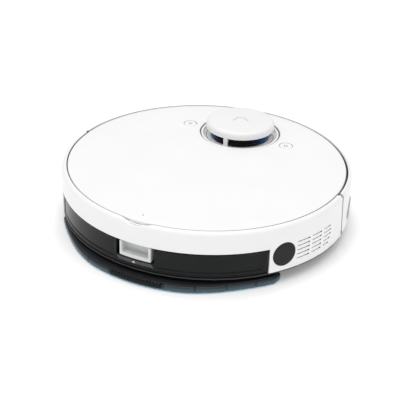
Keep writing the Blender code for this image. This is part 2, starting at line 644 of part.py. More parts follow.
# ---------------------------------------------------------------- running gear
def make_drive(side, end):
    half = WHEEL_W / 2
    arm_x = WHEEL_X + half + 2 * MM             # inner face of the arm
    centre = (side * WHEEL_X, 0, WHEEL_R)
    ring("wheel_hub_" + end, PIN_R + CLEAR, RIM_R, -half + 1 * MM, half - 1 * MM, GREY, centre, "X", 24)
    tyre = ring("wheel_tyre_" + end, RIM_R + CLEAR, WHEEL_R - LUG_H, -half, half, RUBBER, centre, "X", 28)
    lug_size = (2 * LUG_H + 1 * MM, 4 * MM, WHEEL_W - 2 * MM)
    out = Matrix.Translation((WHEEL_R - lug_size[0] / 2, 0, 0))
    lugs = [Matrix.Rotation(2 * math.pi * i / LUGS, 4, "Z") @ out for i in range(LUGS)]
    join(tyre, boxes("lugs_" + end, lugs, lug_size, None, centre, AXIS_TURN["X"]))

    pivot = (side * (arm_x + ARM_W / 2), *ARM_PIVOT)
    low_x, high_x = sorted((side * arm_x, side * (arm_x + ARM_W)))
    arm = block("wheel_arm_" + end, (low_x, -14 * MM, 20 * MM), (high_x, ARM_END_Y, 42 * MM), GREY,
                at=pivot, rounding=3 * MM)
    axle_at = (pivot[0], 0, WHEEL_R)
    axle = drum("axle_" + end, PIN_R, -ARM_W / 2 - WHEEL_W, ARM_W / 2 - 2 * MM, None, axle_at, "X", 24)
    if side < 0:
        axle.rotation_euler = (0, -math.pi / 2, 0)
    bore = drum("arm_bore_" + end, PIN_R + CLEAR, -ARM_W, ARM_W, None, pivot, "X", 24)
    join(arm, axle)
    cut(arm, bore)
    pin = drum("arm_pin_" + end, PIN_R, -ARM_W / 2 - 1.5 * MM, ARM_W / 2 + 9 * MM, STEEL, pivot, "X", 24)
    spring_x = pivot[0] + side * (ARM_W / 2 + 1.5 * MM)
    coil("arm_spring_" + end, (spring_x, *ARM_PIVOT), side, 5.2 * MM, 0.7 * MM, 6 * MM, 3)
    if side < 0:
        pin.rotation_euler = (0, -math.pi / 2, 0)


def coil(name, start, side, radius, wire, length, turns):
    """A close-wound torsion spring along X."""
    curve = bpy.data.curves.new(name, "CURVE")
    curve.dimensions = "3D"
    curve.bevel_depth = wire
    curve.bevel_resolution = 1
    curve.use_fill_caps = True
    per_turn = 8
    count = turns * per_turn + 1
    spline = curve.splines.new("POLY")
    spline.points.add(count - 1)
    for i, point in enumerate(spline.points):
        turn = 2 * math.pi * i / per_turn
        along = wire + (length - 2 * wire) * i / (count - 1)
        point.co = (side * along, radius * math.cos(turn), radius * math.sin(turn), 1)
    spring = bpy.data.objects.new(name, curve)
    parts.objects.link(spring)
    spring.parent = disc
    spring.location = start
    curve.materials.append(new_finish(name, *STEEL))


def make_caster():
    at = (0, CASTER_Y, 0)
    top = 33 * MM
    turned("caster_socket", [
        (YOKE_R + 4.6 * MM, top + 4 * MM), (YOKE_R + 4.6 * MM, UNDERSIDE_Z), (YOKE_R + 2.4 * MM, UNDERSIDE_Z),
        (YOKE_R + 2.4 * MM, top + 1.4 * MM), (PIN_R + CLEAR, top + 1.4 * MM), (PIN_R + CLEAR, top + 4 * MM),
    ], DARK, at, sides=32)
    yoke = turned("caster_yoke", [
        (0, top + 3.6 * MM), (PIN_R, top + 3.6 * MM), (PIN_R, top), (YOKE_R, top), (YOKE_R, 8 * MM),
        (0, 8 * MM),
    ], DARK, at, sides=32)
    slot_half = CASTER_W / 2 + RUN
    cut(yoke, block("yoke_slot", (-slot_half, CASTER_Y - 2 * YOKE_R, 0),
                    (slot_half, CASTER_Y + 2 * YOKE_R, CASTER_R * 2 + 2 * MM)))
    wheel_at = (0, CASTER_Y + CASTER_TRAIL, CASTER_R)
    axle_r = 1.5 * MM
    axle_half = YOKE_R - 2.5 * MM
    cut(yoke, drum("axle_bore", axle_r + CLEAR, -2 * YOKE_R, 2 * YOKE_R, None, wheel_at, "X", 16))
    ring("caster_wheel", axle_r + CLEAR, CASTER_R, -CASTER_W / 2, CASTER_W / 2, RUBBER, wheel_at, "X", 24)
    drum("caster_axle", axle_r, -axle_half, axle_half, STEEL, wheel_at, "X", 16)


# ---------------------------------------------------------------- brushes
def make_main_brush():
    at = (0, BRUSH_Y, BRUSH_Z)
    housing = block("brush_housing", (-HOUSING_HALF, HOUSING_FRONT_Y, FLOOR_TOP + CLEAR),
                    (HOUSING_HALF, HOUSING_BACK_Y, HOUSING_TOP), DARK)
    tunnel = drum("brush_tunnel", TUNNEL_R, -BAY_HALF, BAY_HALF, None, at, "X", 32)
    mouth = block("tunnel_mouth", (-BAY_HALF, BRUSH_Y - TUNNEL_R, 0), (BAY_HALF, BRUSH_Y + TUNNEL_R, BRUSH_Z))
    duct = block("duct", (-DUCT_HALF, BRUSH_Y, DUCT_LOW), (DUCT_HALF, HOUSING_BACK_Y + 5 * MM, DUCT_HIGH))
    bearing_r = 6 * MM
    bores = drum("bearing_bores", bearing_r + CLEAR, -REACH, REACH, None, at, "X", 20)
    cut(housing, tunnel, mouth, duct, bores)
    for side, end in ((1, "L"), (-1, "R")):
        low, high = sorted((side * (BAY_HALF + CLEAR), side * HOUSING_HALF))
        ring("brush_bearing_" + end, PIN_R + CLEAR, bearing_r, low, high, BRASS, at, "X", 24)
    brush = drum("main_brush", BRUSH_CORE_R, -BRUSH_HALF, BRUSH_HALF, BLUE, at, "X", 18)
    journals = drum("brush_journals", PIN_R, -HOUSING_HALF, HOUSING_HALF, None, at, "X", 20)
    fin_size = (BRUSH_R - BRUSH_CORE_R + 2 * MM, 2 * MM, 2 * BRUSH_HALF - 4 * MM)
    out = Matrix.Translation((BRUSH_R - fin_size[0] / 2, 0, 0))
    fins = [Matrix.Rotation(2 * math.pi * i / BRUSH_FINS, 4, "Z") @ out for i in range(BRUSH_FINS)]
    join(brush, journals, boxes("fins", fins, fin_size, None, at, AXIS_TURN["X"]))

    guard_high = UNDERSIDE_Z - CLEAR
    guard = block("brush_guard", (-HOUSING_HALF, HOUSING_FRONT_Y, guard_high - 3 * MM),
                  (HOUSING_HALF, HOUSING_BACK_Y, guard_high), DARK)
    window_half = BRUSH_R - 1 * MM
    cut(guard, block("guard_window", (-BAY_HALF, BRUSH_Y - window_half, 0),
                     (BAY_HALF, BRUSH_Y + window_half, REACH)))
    motor_r = 9.5 * MM
    motor_at = (0, HOUSING_FRONT_Y - motor_r - 2 * MM, 26 * MM)
    drum("brush_motor", motor_r, 20 * MM, 80 * MM, STEEL, motor_at, "X", 24)


def make_side_brush():
    at = (*SIDE_BRUSH, 0)
    stem_r, hub_r = 2.5 * MM, 8 * MM
    stem_top = FLOOR_TOP + 0.2 * MM
    hub_low, hub_high = 5 * MM, UNDERSIDE_Z - RUN
    brush = turned("side_brush", [
        (0, stem_top), (stem_r, stem_top), (stem_r, hub_high), (hub_r, hub_high), (hub_r, hub_low),
        (0, hub_low),
    ], GREY, at, sides=24)
    outward = math.atan2(SIDE_BRUSH[1], SIDE_BRUSH[0])
    droop = Matrix.Translation((0, 0, 7 * MM)) @ Matrix.Rotation(math.radians(5), 4, "Y")
    out = Matrix.Translation((SIDE_BRUSH_REACH / 2 + 2 * MM, 0, 0))
    turns = (Matrix.Rotation(outward + math.radians(60 + 120 * number), 4, "Z") for number in range(3))
    tufts = [turn @ droop @ out for turn in turns]
    join(brush, boxes("tufts", tufts, (SIDE_BRUSH_REACH - 4 * MM, 3 * MM, 1.6 * MM), None, at))
    drum("side_brush_motor", 11 * MM, FLOOR_TOP + 0.8 * MM, 38 * MM, STEEL, at, "Z", 24)


# ---------------------------------------------------------------- fan, battery and electrics
def make_fan():
    at = (*FAN, 0)
    wall = 1.6 * MM
    low, high = 22.3 * MM, 46 * MM
    housing = turned("fan_housing", [
        (FAN_R, high), (FAN_R, low), (4 * MM, low), (4 * MM, low + wall), (FAN_R - wall, low + wall),
        (FAN_R - wall, high),
    ], DARK, at, sides=24)
    cut(housing, block("fan_outlet", (FAN[0] - 2 * FAN_R, FAN[1] - 7 * MM, 28 * MM),
                       (FAN[0] - FAN_R / 2, FAN[1] + 9 * MM, 42 * MM)))
    disc_r, hub_r, bore_r = FAN_R - 3 * MM, 6 * MM, 2.3 * MM
    disc_low, disc_high, hub_high = 26 * MM, 27.5 * MM, 38 * MM
    impeller = turned("fan_impeller", [
        (disc_r, disc_high), (disc_r, disc_low), (bore_r, disc_low), (bore_r, hub_high), (hub_r, hub_high),
        (hub_r, disc_high),
    ], WHITE, at, sides=20)
    blade = FAN_R - 9 * MM
    out = Matrix.Translation((5 * MM + blade / 2, 0, 32 * MM)) @ Matrix.Rotation(math.radians(20), 4, "Z")
    blades = [Matrix.Rotation(2 * math.pi * i / FAN_BLADES, 4, "Z") @ out for i in range(FAN_BLADES)]
    join(impeller, boxes("blades", blades, (blade - 2 * MM, 1.2 * MM, 10 * MM), None, at))
    shaft_r, motor_r = bore_r - CLEAR, 11 * MM
    shaft_top, motor_top, motor_low = 34 * MM, low - 0.8 * MM, FLOOR_TOP + CLEAR
    turned("fan_motor", [
        (0, shaft_top), (shaft_r, shaft_top), (shaft_r, motor_top), (motor_r, motor_top),
        (motor_r, motor_low), (0, motor_low),
    ], STEEL, at, sides=24)


def make_electrics():
    floor = FLOOR_TOP + CLEAR
    front, back = BATTERY_Y
    block("battery", (-BATTERY_HALF, front, floor), (BATTERY_HALF, back, 38 * MM), BLUE, rounding=4 * MM)
    door = block("battery_door", (-DOOR_HALF, front - DOOR_LAP, UNDERSIDE_Z),
                 (DOOR_HALF, back + DOOR_LAP, FLOOR_TOP), DARK)
    head_low, head_top = UNDERSIDE_Z + 0.1 * MM, UNDERSIDE_Z + 1.5 * MM
    hole_r, pocket_r, pocket_top = SCREW_R + SCREW_GAP, SCREW_HEAD_R + SCREW_GAP, head_top + CLEAR
    tip = 22 * MM
    half_x, half_y = CONTACT_HALF
    for side, end in ((1, "L"), (-1, "R")):
        at = (side * SCREW_AT[0], SCREW_AT[1], 0)
        cut(door, turned("screw_pocket_" + end, [
            (0, REACH), (hole_r, REACH), (hole_r, pocket_top), (pocket_r, pocket_top), (pocket_r, 0), (0, 0),
        ], None, at, sides=16))
        turned("door_screw_" + end, [
            (0, tip), (SCREW_R, tip), (SCREW_R, head_top), (SCREW_HEAD_R, head_top), (SCREW_HEAD_R, head_low),
            (0, head_low),
        ], STEEL, at, sides=16)
        block("charge_contact_" + end,
              (side * CONTACT_X - half_x, CONTACT_Y - half_y, UNDERSIDE_Z - 0.6 * MM),
              (side * CONTACT_X + half_x, CONTACT_Y + half_y, FLOOR_TOP - 0.5 * MM), BRASS)
    block("main_board", (-80 * MM, front - 6 * MM, 41 * MM), (80 * MM, back + 6 * MM, 42.6 * MM), GREEN)
    cone_r, magnet_r = 16 * MM, 9 * MM
    turned("speaker", [
        (0, 26 * MM), (magnet_r, 26 * MM), (magnet_r, 21 * MM), (cone_r, 18 * MM), (cone_r, floor),
        (0, floor),
    ], DARK, (*SPEAKER, 0), sides=20)


# ---------------------------------------------------------------- build
clear_scene()
parts = new_collection("robot_vacuum")
cutters = new_collection("cutters")
disc = bpy.data.objects.new("disc_centre", None)
disc.location = (0, DISC_Y, 0)
parts.objects.link(disc)
bpy.context.view_layer.update()

make_chassis()
make_deck()
make_side_shell()
make_bumper()
make_lid()
make_buttons()
make_port_plug()
make_turret()
make_tank()
make_dust_box()
make_mop()
make_drive(1, "L")
make_drive(-1, "R")
make_caster()
make_main_brush()
make_side_brush()
make_fan()
make_electrics()
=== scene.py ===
# %% [markdown]
# # A robot vacuum and mop
# The machine is a low round box in moulded white plastic. A scanning turret stands on its lid, a sprung
# bumper wraps its front half, and a smoked tank and a mop plate close its rear.
# The engineering model comes first and stays where it is. Everything that shows is then given its real
# surface, or is made again more finely in the same place.

# %% Load the engineering model
import math
import random

import bmesh
import bpy
from mathutils import Matrix, Vector


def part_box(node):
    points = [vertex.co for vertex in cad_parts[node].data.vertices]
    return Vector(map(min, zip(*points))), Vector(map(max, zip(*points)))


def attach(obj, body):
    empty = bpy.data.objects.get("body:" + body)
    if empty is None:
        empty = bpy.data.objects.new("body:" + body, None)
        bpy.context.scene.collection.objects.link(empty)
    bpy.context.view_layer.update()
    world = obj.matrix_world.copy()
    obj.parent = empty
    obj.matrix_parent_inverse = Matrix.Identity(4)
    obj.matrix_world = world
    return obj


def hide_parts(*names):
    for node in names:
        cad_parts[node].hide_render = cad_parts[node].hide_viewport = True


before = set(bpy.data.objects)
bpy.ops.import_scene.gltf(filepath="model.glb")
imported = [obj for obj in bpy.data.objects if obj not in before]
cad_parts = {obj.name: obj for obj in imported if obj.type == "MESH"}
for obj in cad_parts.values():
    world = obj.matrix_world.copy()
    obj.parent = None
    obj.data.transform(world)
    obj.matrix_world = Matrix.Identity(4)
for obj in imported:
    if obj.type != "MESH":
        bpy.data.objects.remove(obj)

MM = 0.001
LAID_X = Matrix.Rotation(math.pi / 2, 4, "X")
LAID_Y = Matrix.Rotation(math.pi / 2, 4, "Y")
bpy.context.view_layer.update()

# %% [markdown]
# The round body sets most of the other sizes. Its radius and its middle are read from the side shell's box,
# because that box touches the widest points of the circle.

# %% Read the driving sizes
shell_low, shell_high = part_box("side_shell")
R = shell_high.x
MIDDLE = Vector((0, shell_high.y - R, 0))
SHELL_LOW, SHELL_TOP = shell_low.z, shell_high.z
LID_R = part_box("top_cover")[1].x
LID_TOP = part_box("top_cover")[1].z
WALL = 2.4 * MM
LIP = 5.8 * MM
FINE = 192
print("body radius", round(R / MM, 2), "mm, middle at y", round(MIDDLE.y / MM, 2), "mm")


# %% [markdown]
# ## Colours and nodes
# Colours are chosen as sRGB hex values, the way a colour picker shows them. Shaders work in linear light,
# so one function converts them. A second function adds a node, sets it up and links what feeds it.

# %% Colour and node helpers
def linear(code):
    parts = [int(code[i:i + 2], 16) / 255 for i in (0, 2, 4)]
    return (*[v / 12.92 if v <= 0.04045 else ((v + 0.055) / 1.055) ** 2.4 for v in parts], 1)


def add(tree, kind, feeds=None, **settings):
    node = tree.nodes.new("ShaderNode" + kind)
    for key, value in settings.items():
        setattr(node, key, value)
    for key, value in (feeds or {}).items():
        if isinstance(value, bpy.types.NodeSocket):
            tree.links.new(value, node.inputs[key])
        else:
            node.inputs[key].default_value = value
    return node


def finish(name, **sockets):
    made = bpy.data.materials.new(name)
    made.use_nodes = True
    shader = made.node_tree.nodes["Principled BSDF"]
    for key, value in sockets.items():
        shader.inputs[key.replace("_", " ")].default_value = value
    return made, made.node_tree, shader


def moulded(name, light, dark, patch, grain, depth, **sockets):
    """A moulded surface: broad, faint shade changes a patch across, and a fine bump a grain across."""
    made, tree, shader = finish(name, **sockets)
    place = add(tree, "TexCoord").outputs["Object"]
    broad = add(tree, "TexNoise", {"Vector": place, "Scale": 1 / patch, "Detail": 2.0})
    shade = add(tree, "Mix", {"Factor": broad.outputs[0], 6: linear(dark), 7: linear(light)},
                data_type="RGBA")
    tree.links.new(shade.outputs[2], shader.inputs["Base Color"])
    fine = add(tree, "TexNoise", {"Vector": place, "Scale": 1 / grain, "Detail": 3.0})
    bump = add(tree, "Bump", {"Height": fine.outputs[0], "Distance": depth, "Strength": 0.6})
    tree.links.new(bump.outputs[0], shader.inputs["Normal"])
    return made


print("middle grey 808080 is", round(linear("808080")[0], 3), "in linear light")

# %% [markdown]
# ## The plastics
# White ABS is moulded in a finely eroded steel tool, which leaves a satin grain of about 0.4 mm.
# The tank is smoked polycarbonate from a polished tool, so it is nearly black and glossy.
# The floor and the inner frame are plain matte ABS. The latch is silver-painted ABS.
# Faint shade changes read as thickness, and the fine grain as a soft highlight. The port and the stops have
# little gloss, so they stay dark from every side. The ribs are painted a lighter grey: a painted highlight.
# Ink has no relief to speak of, so the marks look flat.

# %% White, smoked, dark, grey and silver plastic
white_abs = moulded("white_abs", "F7F7F7", "F1F1F1", 60 * MM, 0.4 * MM, 0.012 * MM, Roughness=0.36, IOR=1.53)
smoked = moulded("smoked_polycarbonate", "1B1C1E", "101112", 45 * MM, 3 * MM, 0.01 * MM,
                 Roughness=0.16, IOR=1.58,
                 Specular_IOR_Level=0.12)
dark_abs = moulded("black_abs", "26272A", "17181A", 30 * MM, 0.6 * MM, 0.03 * MM, Roughness=0.55, IOR=1.53)
grey_abs = moulded("grey_abs", "8E9094", "7C7E82", 30 * MM, 0.6 * MM, 0.03 * MM, Roughness=0.5, IOR=1.53)
side_grey = moulded("pale_grey_abs", "B4B6B6", "9EA0A0", 12 * MM, 0.5 * MM, 0.01 * MM,
                    Roughness=0.4, IOR=1.53)
silver = moulded("silver_painted_abs", "E2E3E3", "D2D3D3", 12 * MM, 0.25 * MM, 0.006 * MM, Roughness=0.32,
                 IOR=1.5, Coat_Weight=0.25, Coat_Roughness=0.2)
# The cap is the lid's white ABS in a copy a shade darker: painted shade.
white_abs_painted_shade = moulded("white_cap_abs_painted_shade", "F2F2F2", "ECECEC", 40 * MM, 0.4 * MM, 0.012 * MM,
                  Roughness=0.34, IOR=1.53)
port_abs = moulded("charcoal_abs", "262729", "1E1F21", 12 * MM, 0.4 * MM, 0.02 * MM, Roughness=0.6, IOR=1.53,
                   Specular_IOR_Level=0.2)
# This grey is painted shadow: it fills the gap round the turret's bowl.
gap_shadow_abs = moulded("gap_shadow_grey_abs", "7C7C7C", "646464", 9 * MM, 0.5 * MM, 0.01 * MM, Roughness=0.45, IOR=1.53)
stop_rubber = moulded("black_rubber", "0E0E0F", "060607", 6 * MM, 0.5 * MM, 0.02 * MM,
                      Roughness=0.85, IOR=1.52,
                      Specular_IOR_Level=0.2)
# The bowl and the scanner's base are the white ABS in a brighter copy, lifted against the shade under the
# cap:
white_abs_painted_light = moulded("bright_white_abs_painted_light", "FDFDFD", "F9F9F9", 40 * MM, 0.4 * MM, 0.01 * MM,
                   # painted light.
                   Roughness=0.3, IOR=1.53)
strip_rubber = moulded("light_grey_rubber", "C8C9CA", "B8B9BA", 9 * MM, 0.5 * MM, 0.01 * MM,
                       Roughness=0.7, IOR=1.52)
# The ribs are a lighter grey than the smoked plastic they stand on: painted highlight.
rib_painted_highlight = moulded("rib_painted_highlight_abs", "6C6E70", "4C4E50", 4 * MM, 0.5 * MM, 0.01 * MM, Roughness=0.35, IOR=1.53)
window_acrylic = moulded("black_tinted_acrylic", "141518", "0A0A0C", 30 * MM, 4 * MM, 0.005 * MM,
                         Roughness=0.1,
                         IOR=1.49, Specular_IOR_Level=0.3)
# This grey is print on the buttons, and also painted shade in the gaps round them.
ink_and_gap_shade = moulded("grey_ink_and_gap_shade", "76787A", "66686A", 5 * MM, 0.3 * MM, 0.002 * MM, Roughness=0.6)
white_ink = moulded("white_ink", "F0F0F0", "E4E4E4", 5 * MM, 0.3 * MM, 0.002 * MM, Roughness=0.6)
print(len(bpy.data.materials), "materials so far")

# %% [markdown]
# The mop plate's rim is the same polycarbonate, thin enough to let a little light through. A ramp over its
# height paints blue-grey light into its colour, lighter towards the edge that meets the cloth: painted light.

# %% Tinted rim of the mop plate, with painted light
PAINTED_GLOW_LOW, PAINTED_GLOW_HIGH = 3 * MM, 9 * MM
tinted_with_painted_glow, tree, shader = finish("tinted_polycarbonate_painted_glow", Roughness=0.2, IOR=1.58, Transmission_Weight=0.1,
                              Specular_IOR_Level=0.25)
height = add(tree, "SeparateXYZ", {0: add(tree, "TexCoord").outputs["Object"]})
share = add(tree, "MapRange", {"Value": height.outputs["Z"], "From Min": PAINTED_GLOW_LOW, "From Max": PAINTED_GLOW_HIGH})
# painted light: the rim's colour is lighter low down, towards the cloth
ramp = add(tree, "ValToRGB", {0: share.outputs[0]})
ramp.color_ramp.elements[0].color = linear("52656F")
ramp.color_ramp.elements[1].color = linear("1C2023")
tree.links.new(ramp.outputs[0], shader.inputs["Base Color"])
print("the rim darkens over", round((PAINTED_GLOW_HIGH - PAINTED_GLOW_LOW) / MM, 1), "mm")

# %% [markdown]
# The scanner's window passes infrared light and looks black, with a blue and violet sheen from its coating.
# That sheen is painted into its colour as a painted reflection, whose hue drifts from one side to the other.

# %% Scanner window, with a painted sheen
HEADING = math.radians(26)
PAINTED_SHEEN_REACH = 38 * MM
window_painted_sheen, tree, shader = finish("coated_window_painted_sheen", Roughness=0.08, IOR=1.49, Specular_IOR_Level=0.15)
low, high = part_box("turret_cap")
drum_middle = (low + high) / 2
across = Vector((math.cos(HEADING), math.sin(HEADING), 0))
along = add(tree, "VectorMath", {0: add(tree, "TexCoord").outputs["Object"], 1: across},
            operation="DOT_PRODUCT")
share = add(tree, "MapRange", {"Value": along.outputs["Value"],
                               "From Min": drum_middle.dot(across) - PAINTED_SHEEN_REACH,
                               "From Max": drum_middle.dot(across) + PAINTED_SHEEN_REACH})
# painted reflection: the sheen's colour is set by place across the window
ramp = add(tree, "ValToRGB", {0: share.outputs[0]})
ramp.color_ramp.elements[0].color = linear("2A2A6A")
ramp.color_ramp.elements[1].color = linear("256A8C")
for stop, code in ((0.08, "1A4F86"), (0.2, "0C2444"), (0.34, "040507"), (0.8, "050409"), (0.92, "1D1A4C")):
    ramp.color_ramp.elements.new(stop).color = linear(code)
tree.links.new(ramp.outputs[0], shader.inputs["Base Color"])
print("colour stops in the window", len(ramp.color_ramp.elements))

# %% [markdown]
# ## Metals, rubber and the rest
# Steel pins and motor cans are turned or drawn, which leaves a fine grain and broad highlights. Brass is left
# bright. Rubber is matt, so it shows almost no highlight, and solder mask and shrink wrap are glossy skins.
# Metals keep the default IOR.

# %% Metals and rubbers
steel = moulded("drawn_steel", "B9BABD", "9FA1A5", 8 * MM, 0.5 * MM, 0.006 * MM, Metallic=1.0, Roughness=0.32)
brass = moulded("bright_brass", "D9B86A", "C3A052", 6 * MM, 0.5 * MM, 0.005 * MM,
                Metallic=1.0, Roughness=0.25)
rubber = moulded("tyre_rubber", "2B2B2C", "1F1F20", 10 * MM, 0.5 * MM, 0.05 * MM, Roughness=0.85, IOR=1.52)
brush_rubber = moulded("blue_brush_rubber", "2F5597", "274880", 20 * MM, 1 * MM, 0.04 * MM, Roughness=0.6)
board = moulded("solder_mask_green", "1E6B3C", "17552F", 9 * MM, 1.2 * MM, 0.05 * MM, Roughness=0.35, IOR=1.5)
wrap = moulded("blue_shrink_wrap", "24448C", "1C3872", 14 * MM, 2 * MM, 0.05 * MM, Roughness=0.3, IOR=1.5)
print(len(bpy.data.materials), "materials with the metals and rubbers")

# %% [markdown]
# Filter paper is pleated, and the pleats are about 3 mm apart. The cloth is microfibre: short loops about
# 1 mm across, teal with a cooler blue where the pile stands up.

# %% Filter paper and microfibre
WAVE_BANDS = 3.2  # a wave texture shows about this many bands in one unit at a scale of 1
paper, tree, shader = finish("pleated_filter_paper", Roughness=0.9)
place = add(tree, "TexCoord").outputs["Object"]
pleats = add(tree, "TexWave", {"Vector": place, "Scale": 1 / (3 * MM) / WAVE_BANDS}, bands_direction="Y")
shade = add(tree, "Mix", {"Factor": pleats.outputs["Fac"], 6: linear("C9C7BC"), 7: linear("F2F0E8")},
            data_type="RGBA")
tree.links.new(shade.outputs[2], shader.inputs["Base Color"])
bump = add(tree, "Bump", {"Height": pleats.outputs["Fac"], "Distance": 1 * MM})
tree.links.new(bump.outputs[0], shader.inputs["Normal"])

cloth, tree, shader = finish("teal_microfibre", Roughness=0.95, Sheen_Weight=0.5, Sheen_Roughness=0.5)
place = add(tree, "TexCoord").outputs["Object"]
loops = add(tree, "TexVoronoi", {"Vector": place, "Scale": 1 / (1 * MM)})
mottle = add(tree, "TexNoise", {"Vector": place, "Scale": 1 / (9 * MM), "Detail": 3.0})
shade = add(tree, "Mix", {"Factor": mottle.outputs[0], 6: linear("3E8298"), 7: linear("82B8CC")},
            data_type="RGBA")
tree.links.new(shade.outputs[2], shader.inputs["Base Color"])
bump = add(tree, "Bump", {"Height": loops.outputs["Distance"], "Distance": 0.6 * MM})
tree.links.new(bump.outputs[0], shader.inputs["Normal"])
print(len(bpy.data.materials), "materials in all")


# %% [markdown]
# ## Shaping helpers
# Places on the body are easiest to give as a radius and an angle. The angle is counted in degrees from the
# rear, towards the side with the round port. Turned shapes are a profile of (radius, height) points spun
# about the upright axis, and flat shapes are an outline drawn up through some heights.

# %% Places and shapes
def polar(radius, angle, z=0.0):
    a = math.radians(angle)
    return MIDDLE + Vector((-radius * math.sin(a), radius * math.cos(a), z))


def quarter(r, z, radius, first, last, steps=8):
    """Points round an arc, with angles counted from straight up towards the outside."""
    turns = [math.radians(first + (last - first) * i / steps) for i in range(steps + 1)]
    return [(r + radius * math.sin(a), z + radius * math.cos(a)) for a in turns]


def new_object(name, bm):
    mesh = bpy.data.meshes.new(name)
    bmesh.ops.remove_doubles(bm, verts=bm.verts, dist=0.002 * MM)
    bmesh.ops.recalc_face_normals(bm, faces=bm.faces)
    bm.to_mesh(mesh)
    bm.free()
    made = bpy.data.objects.new(name, mesh)
    bpy.context.scene.collection.objects.link(made)
    return made


def turned(name, profile, at=MIDDLE, steps=FINE):
    """The profile is a closed loop, unless it starts and ends on the axis."""
    bm = bmesh.new()
    points = [bm.verts.new((r, 0, z)) for r, z in profile]
    pairs = list(zip(points, points[1:]))
    if profile[0][0] > 0:
        pairs.append((points[-1], points[0]))
    edges = [bm.edges.new(pair) for pair in pairs]
    bmesh.ops.spin(bm, geom=points + edges, cent=(0, 0, 0), axis=(0, 0, 1), angle=2 * math.pi, steps=steps,
                   use_merge=True)
    bmesh.ops.translate(bm, verts=bm.verts, vec=at)
    return new_object(name, bm)


def lofted(name, outlines):
    """Outlines of equal length, each a list of points, joined one to the next and capped at both ends."""
    bm = bmesh.new()
    rows = [[bm.verts.new(p) for p in outline] for outline in outlines]
    for low, high in zip(rows, rows[1:]):
        for i in range(len(low)):
            bm.faces.new((low[i - 1], low[i], high[i], high[i - 1]))
    bm.faces.new(rows[0])
    bm.faces.new(rows[-1])
    return new_object(name, bm)


def bar(name, size, place, rounding=0.0):
    """A rounded bar, its size in X, Y and Z, put down by a matrix."""
    bm = bmesh.new()
    bmesh.ops.create_cube(bm, size=1, matrix=Matrix.Diagonal((*size, 1)))
    if rounding:
        bmesh.ops.bevel(bm, geom=bm.edges[:], offset=rounding, segments=3, affect="EDGES", profile=0.5)
    bmesh.ops.transform(bm, matrix=place, verts=bm.verts)
    return new_object(name, bm)


def rod(name, radius, length, place, steps=64):
    """A round rod along local Z, centred on its place."""
    bm = bmesh.new()
    bmesh.ops.create_cone(bm, cap_ends=True, segments=steps, radius1=radius, radius2=radius, depth=length,
                          matrix=place)
    return new_object(name, bm)


def sector(radius_in, radius_out, first, last, z, steps=48):
    turn = [first + (last - first) * i / steps for i in range(steps + 1)]
    return [polar(radius_out, a, z) for a in turn] + [polar(radius_in, a, z) for a in turn[::-1]]


print("90 degrees from the rear, mm:", [round(v / MM, 1) for v in polar(R, 90)])

# %% [markdown]
# A hole is cut with a Boolean, and the cutter is thrown away. Each finished piece then gets a very small
# bevel on its sharp edges, because a moulded edge always catches a thin line of light.

# %% Cutting and finishing
EDGE = 0.25 * MM


def carve(target, *cutters, operation="DIFFERENCE"):
    for cutter in cutters:
        step = target.modifiers.new("carve", "BOOLEAN")
        step.operation = operation
        step.solver = "EXACT"
        step.object = cutter
    shape = bpy.data.meshes.new_from_object(target.evaluated_get(bpy.context.evaluated_depsgraph_get()))
    target.modifiers.clear()
    target.data = shape
    for cutter in cutters:
        bpy.data.objects.remove(cutter)


def smooth(target, edge, angle=32):
    target.data.shade_smooth()
    target.data.set_sharp_from_angle(angle=math.radians(angle))
    if edge:
        bevel = target.modifiers.new("edge", "BEVEL")
        bevel.width = edge
        bevel.segments = 2
        bevel.limit_method = "ANGLE"
        bevel.angle_limit = math.radians(angle)
        bevel.harden_normals = True
        bevel.use_clamp_overlap = True


def show(piece, material, body, slot, *nodes, edge=EDGE):
    piece.data.materials.clear()
    piece.data.materials.append(material)
    if piece.type == "MESH":
        smooth(piece, edge)
    if nodes:
        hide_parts(*nodes)
    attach(piece, body)
    return piece


print("usual edge bevel", round(EDGE / MM, 2), "mm")

# %% [markdown]
# ## Side shell
# The rear half of the side wall is one thin moulding with a rounded shoulder. It has an opening for the
# tank, a round hole for the port, rows of exhaust slits and a dip for a fingertip under the lid's edge. The
# wall is thickened behind the dip first, so that the dip is a scoop and not a hole.

# %% Side shell's profile and the bumper's leaning seam
def wall_profile(lip_r):
    reach = R - lip_r
    outer = quarter(lip_r, SHELL_TOP - reach, reach, 0, 90)
    inner = quarter(lip_r, SHELL_TOP - reach, reach - WALL, 90, 0)
    return outer + [(R, SHELL_LOW), (R - WALL, SHELL_LOW)] + inner


def half_space(y, rear):
    """A large box on one side of the seam, whose face leans 8 mm over the wall's height."""
    lean = math.atan(SEAM_LEAN / (SHELL_TOP - SHELL_LOW))
    place = Matrix.Translation(MIDDLE + Vector((0, y, (SHELL_TOP + SHELL_LOW) / 2)))
    side = 1 if rear else -1
    return bar("seam", (4 * R, 2 * R, 4 * R), place @ Matrix.Rotation(-lean, 4, "X")
               @ Matrix.Translation((0, side * R, 0)))


SEAM_Y = -2 * MM
SEAM_GAP = 4 * MM
SEAM_LEAN = 8 * MM
OPENING_ANGLE = 50.1
TANK_ANGLE = 49.6
TANK_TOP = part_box("water_tank")[1].z
PORT_ANGLE = 56.2
PORT_R = 14.5 * MM
PORT_Z = 37.5 * MM
print("seam leans", round(SEAM_LEAN / MM, 1), "mm, port at", PORT_ANGLE, "degrees")

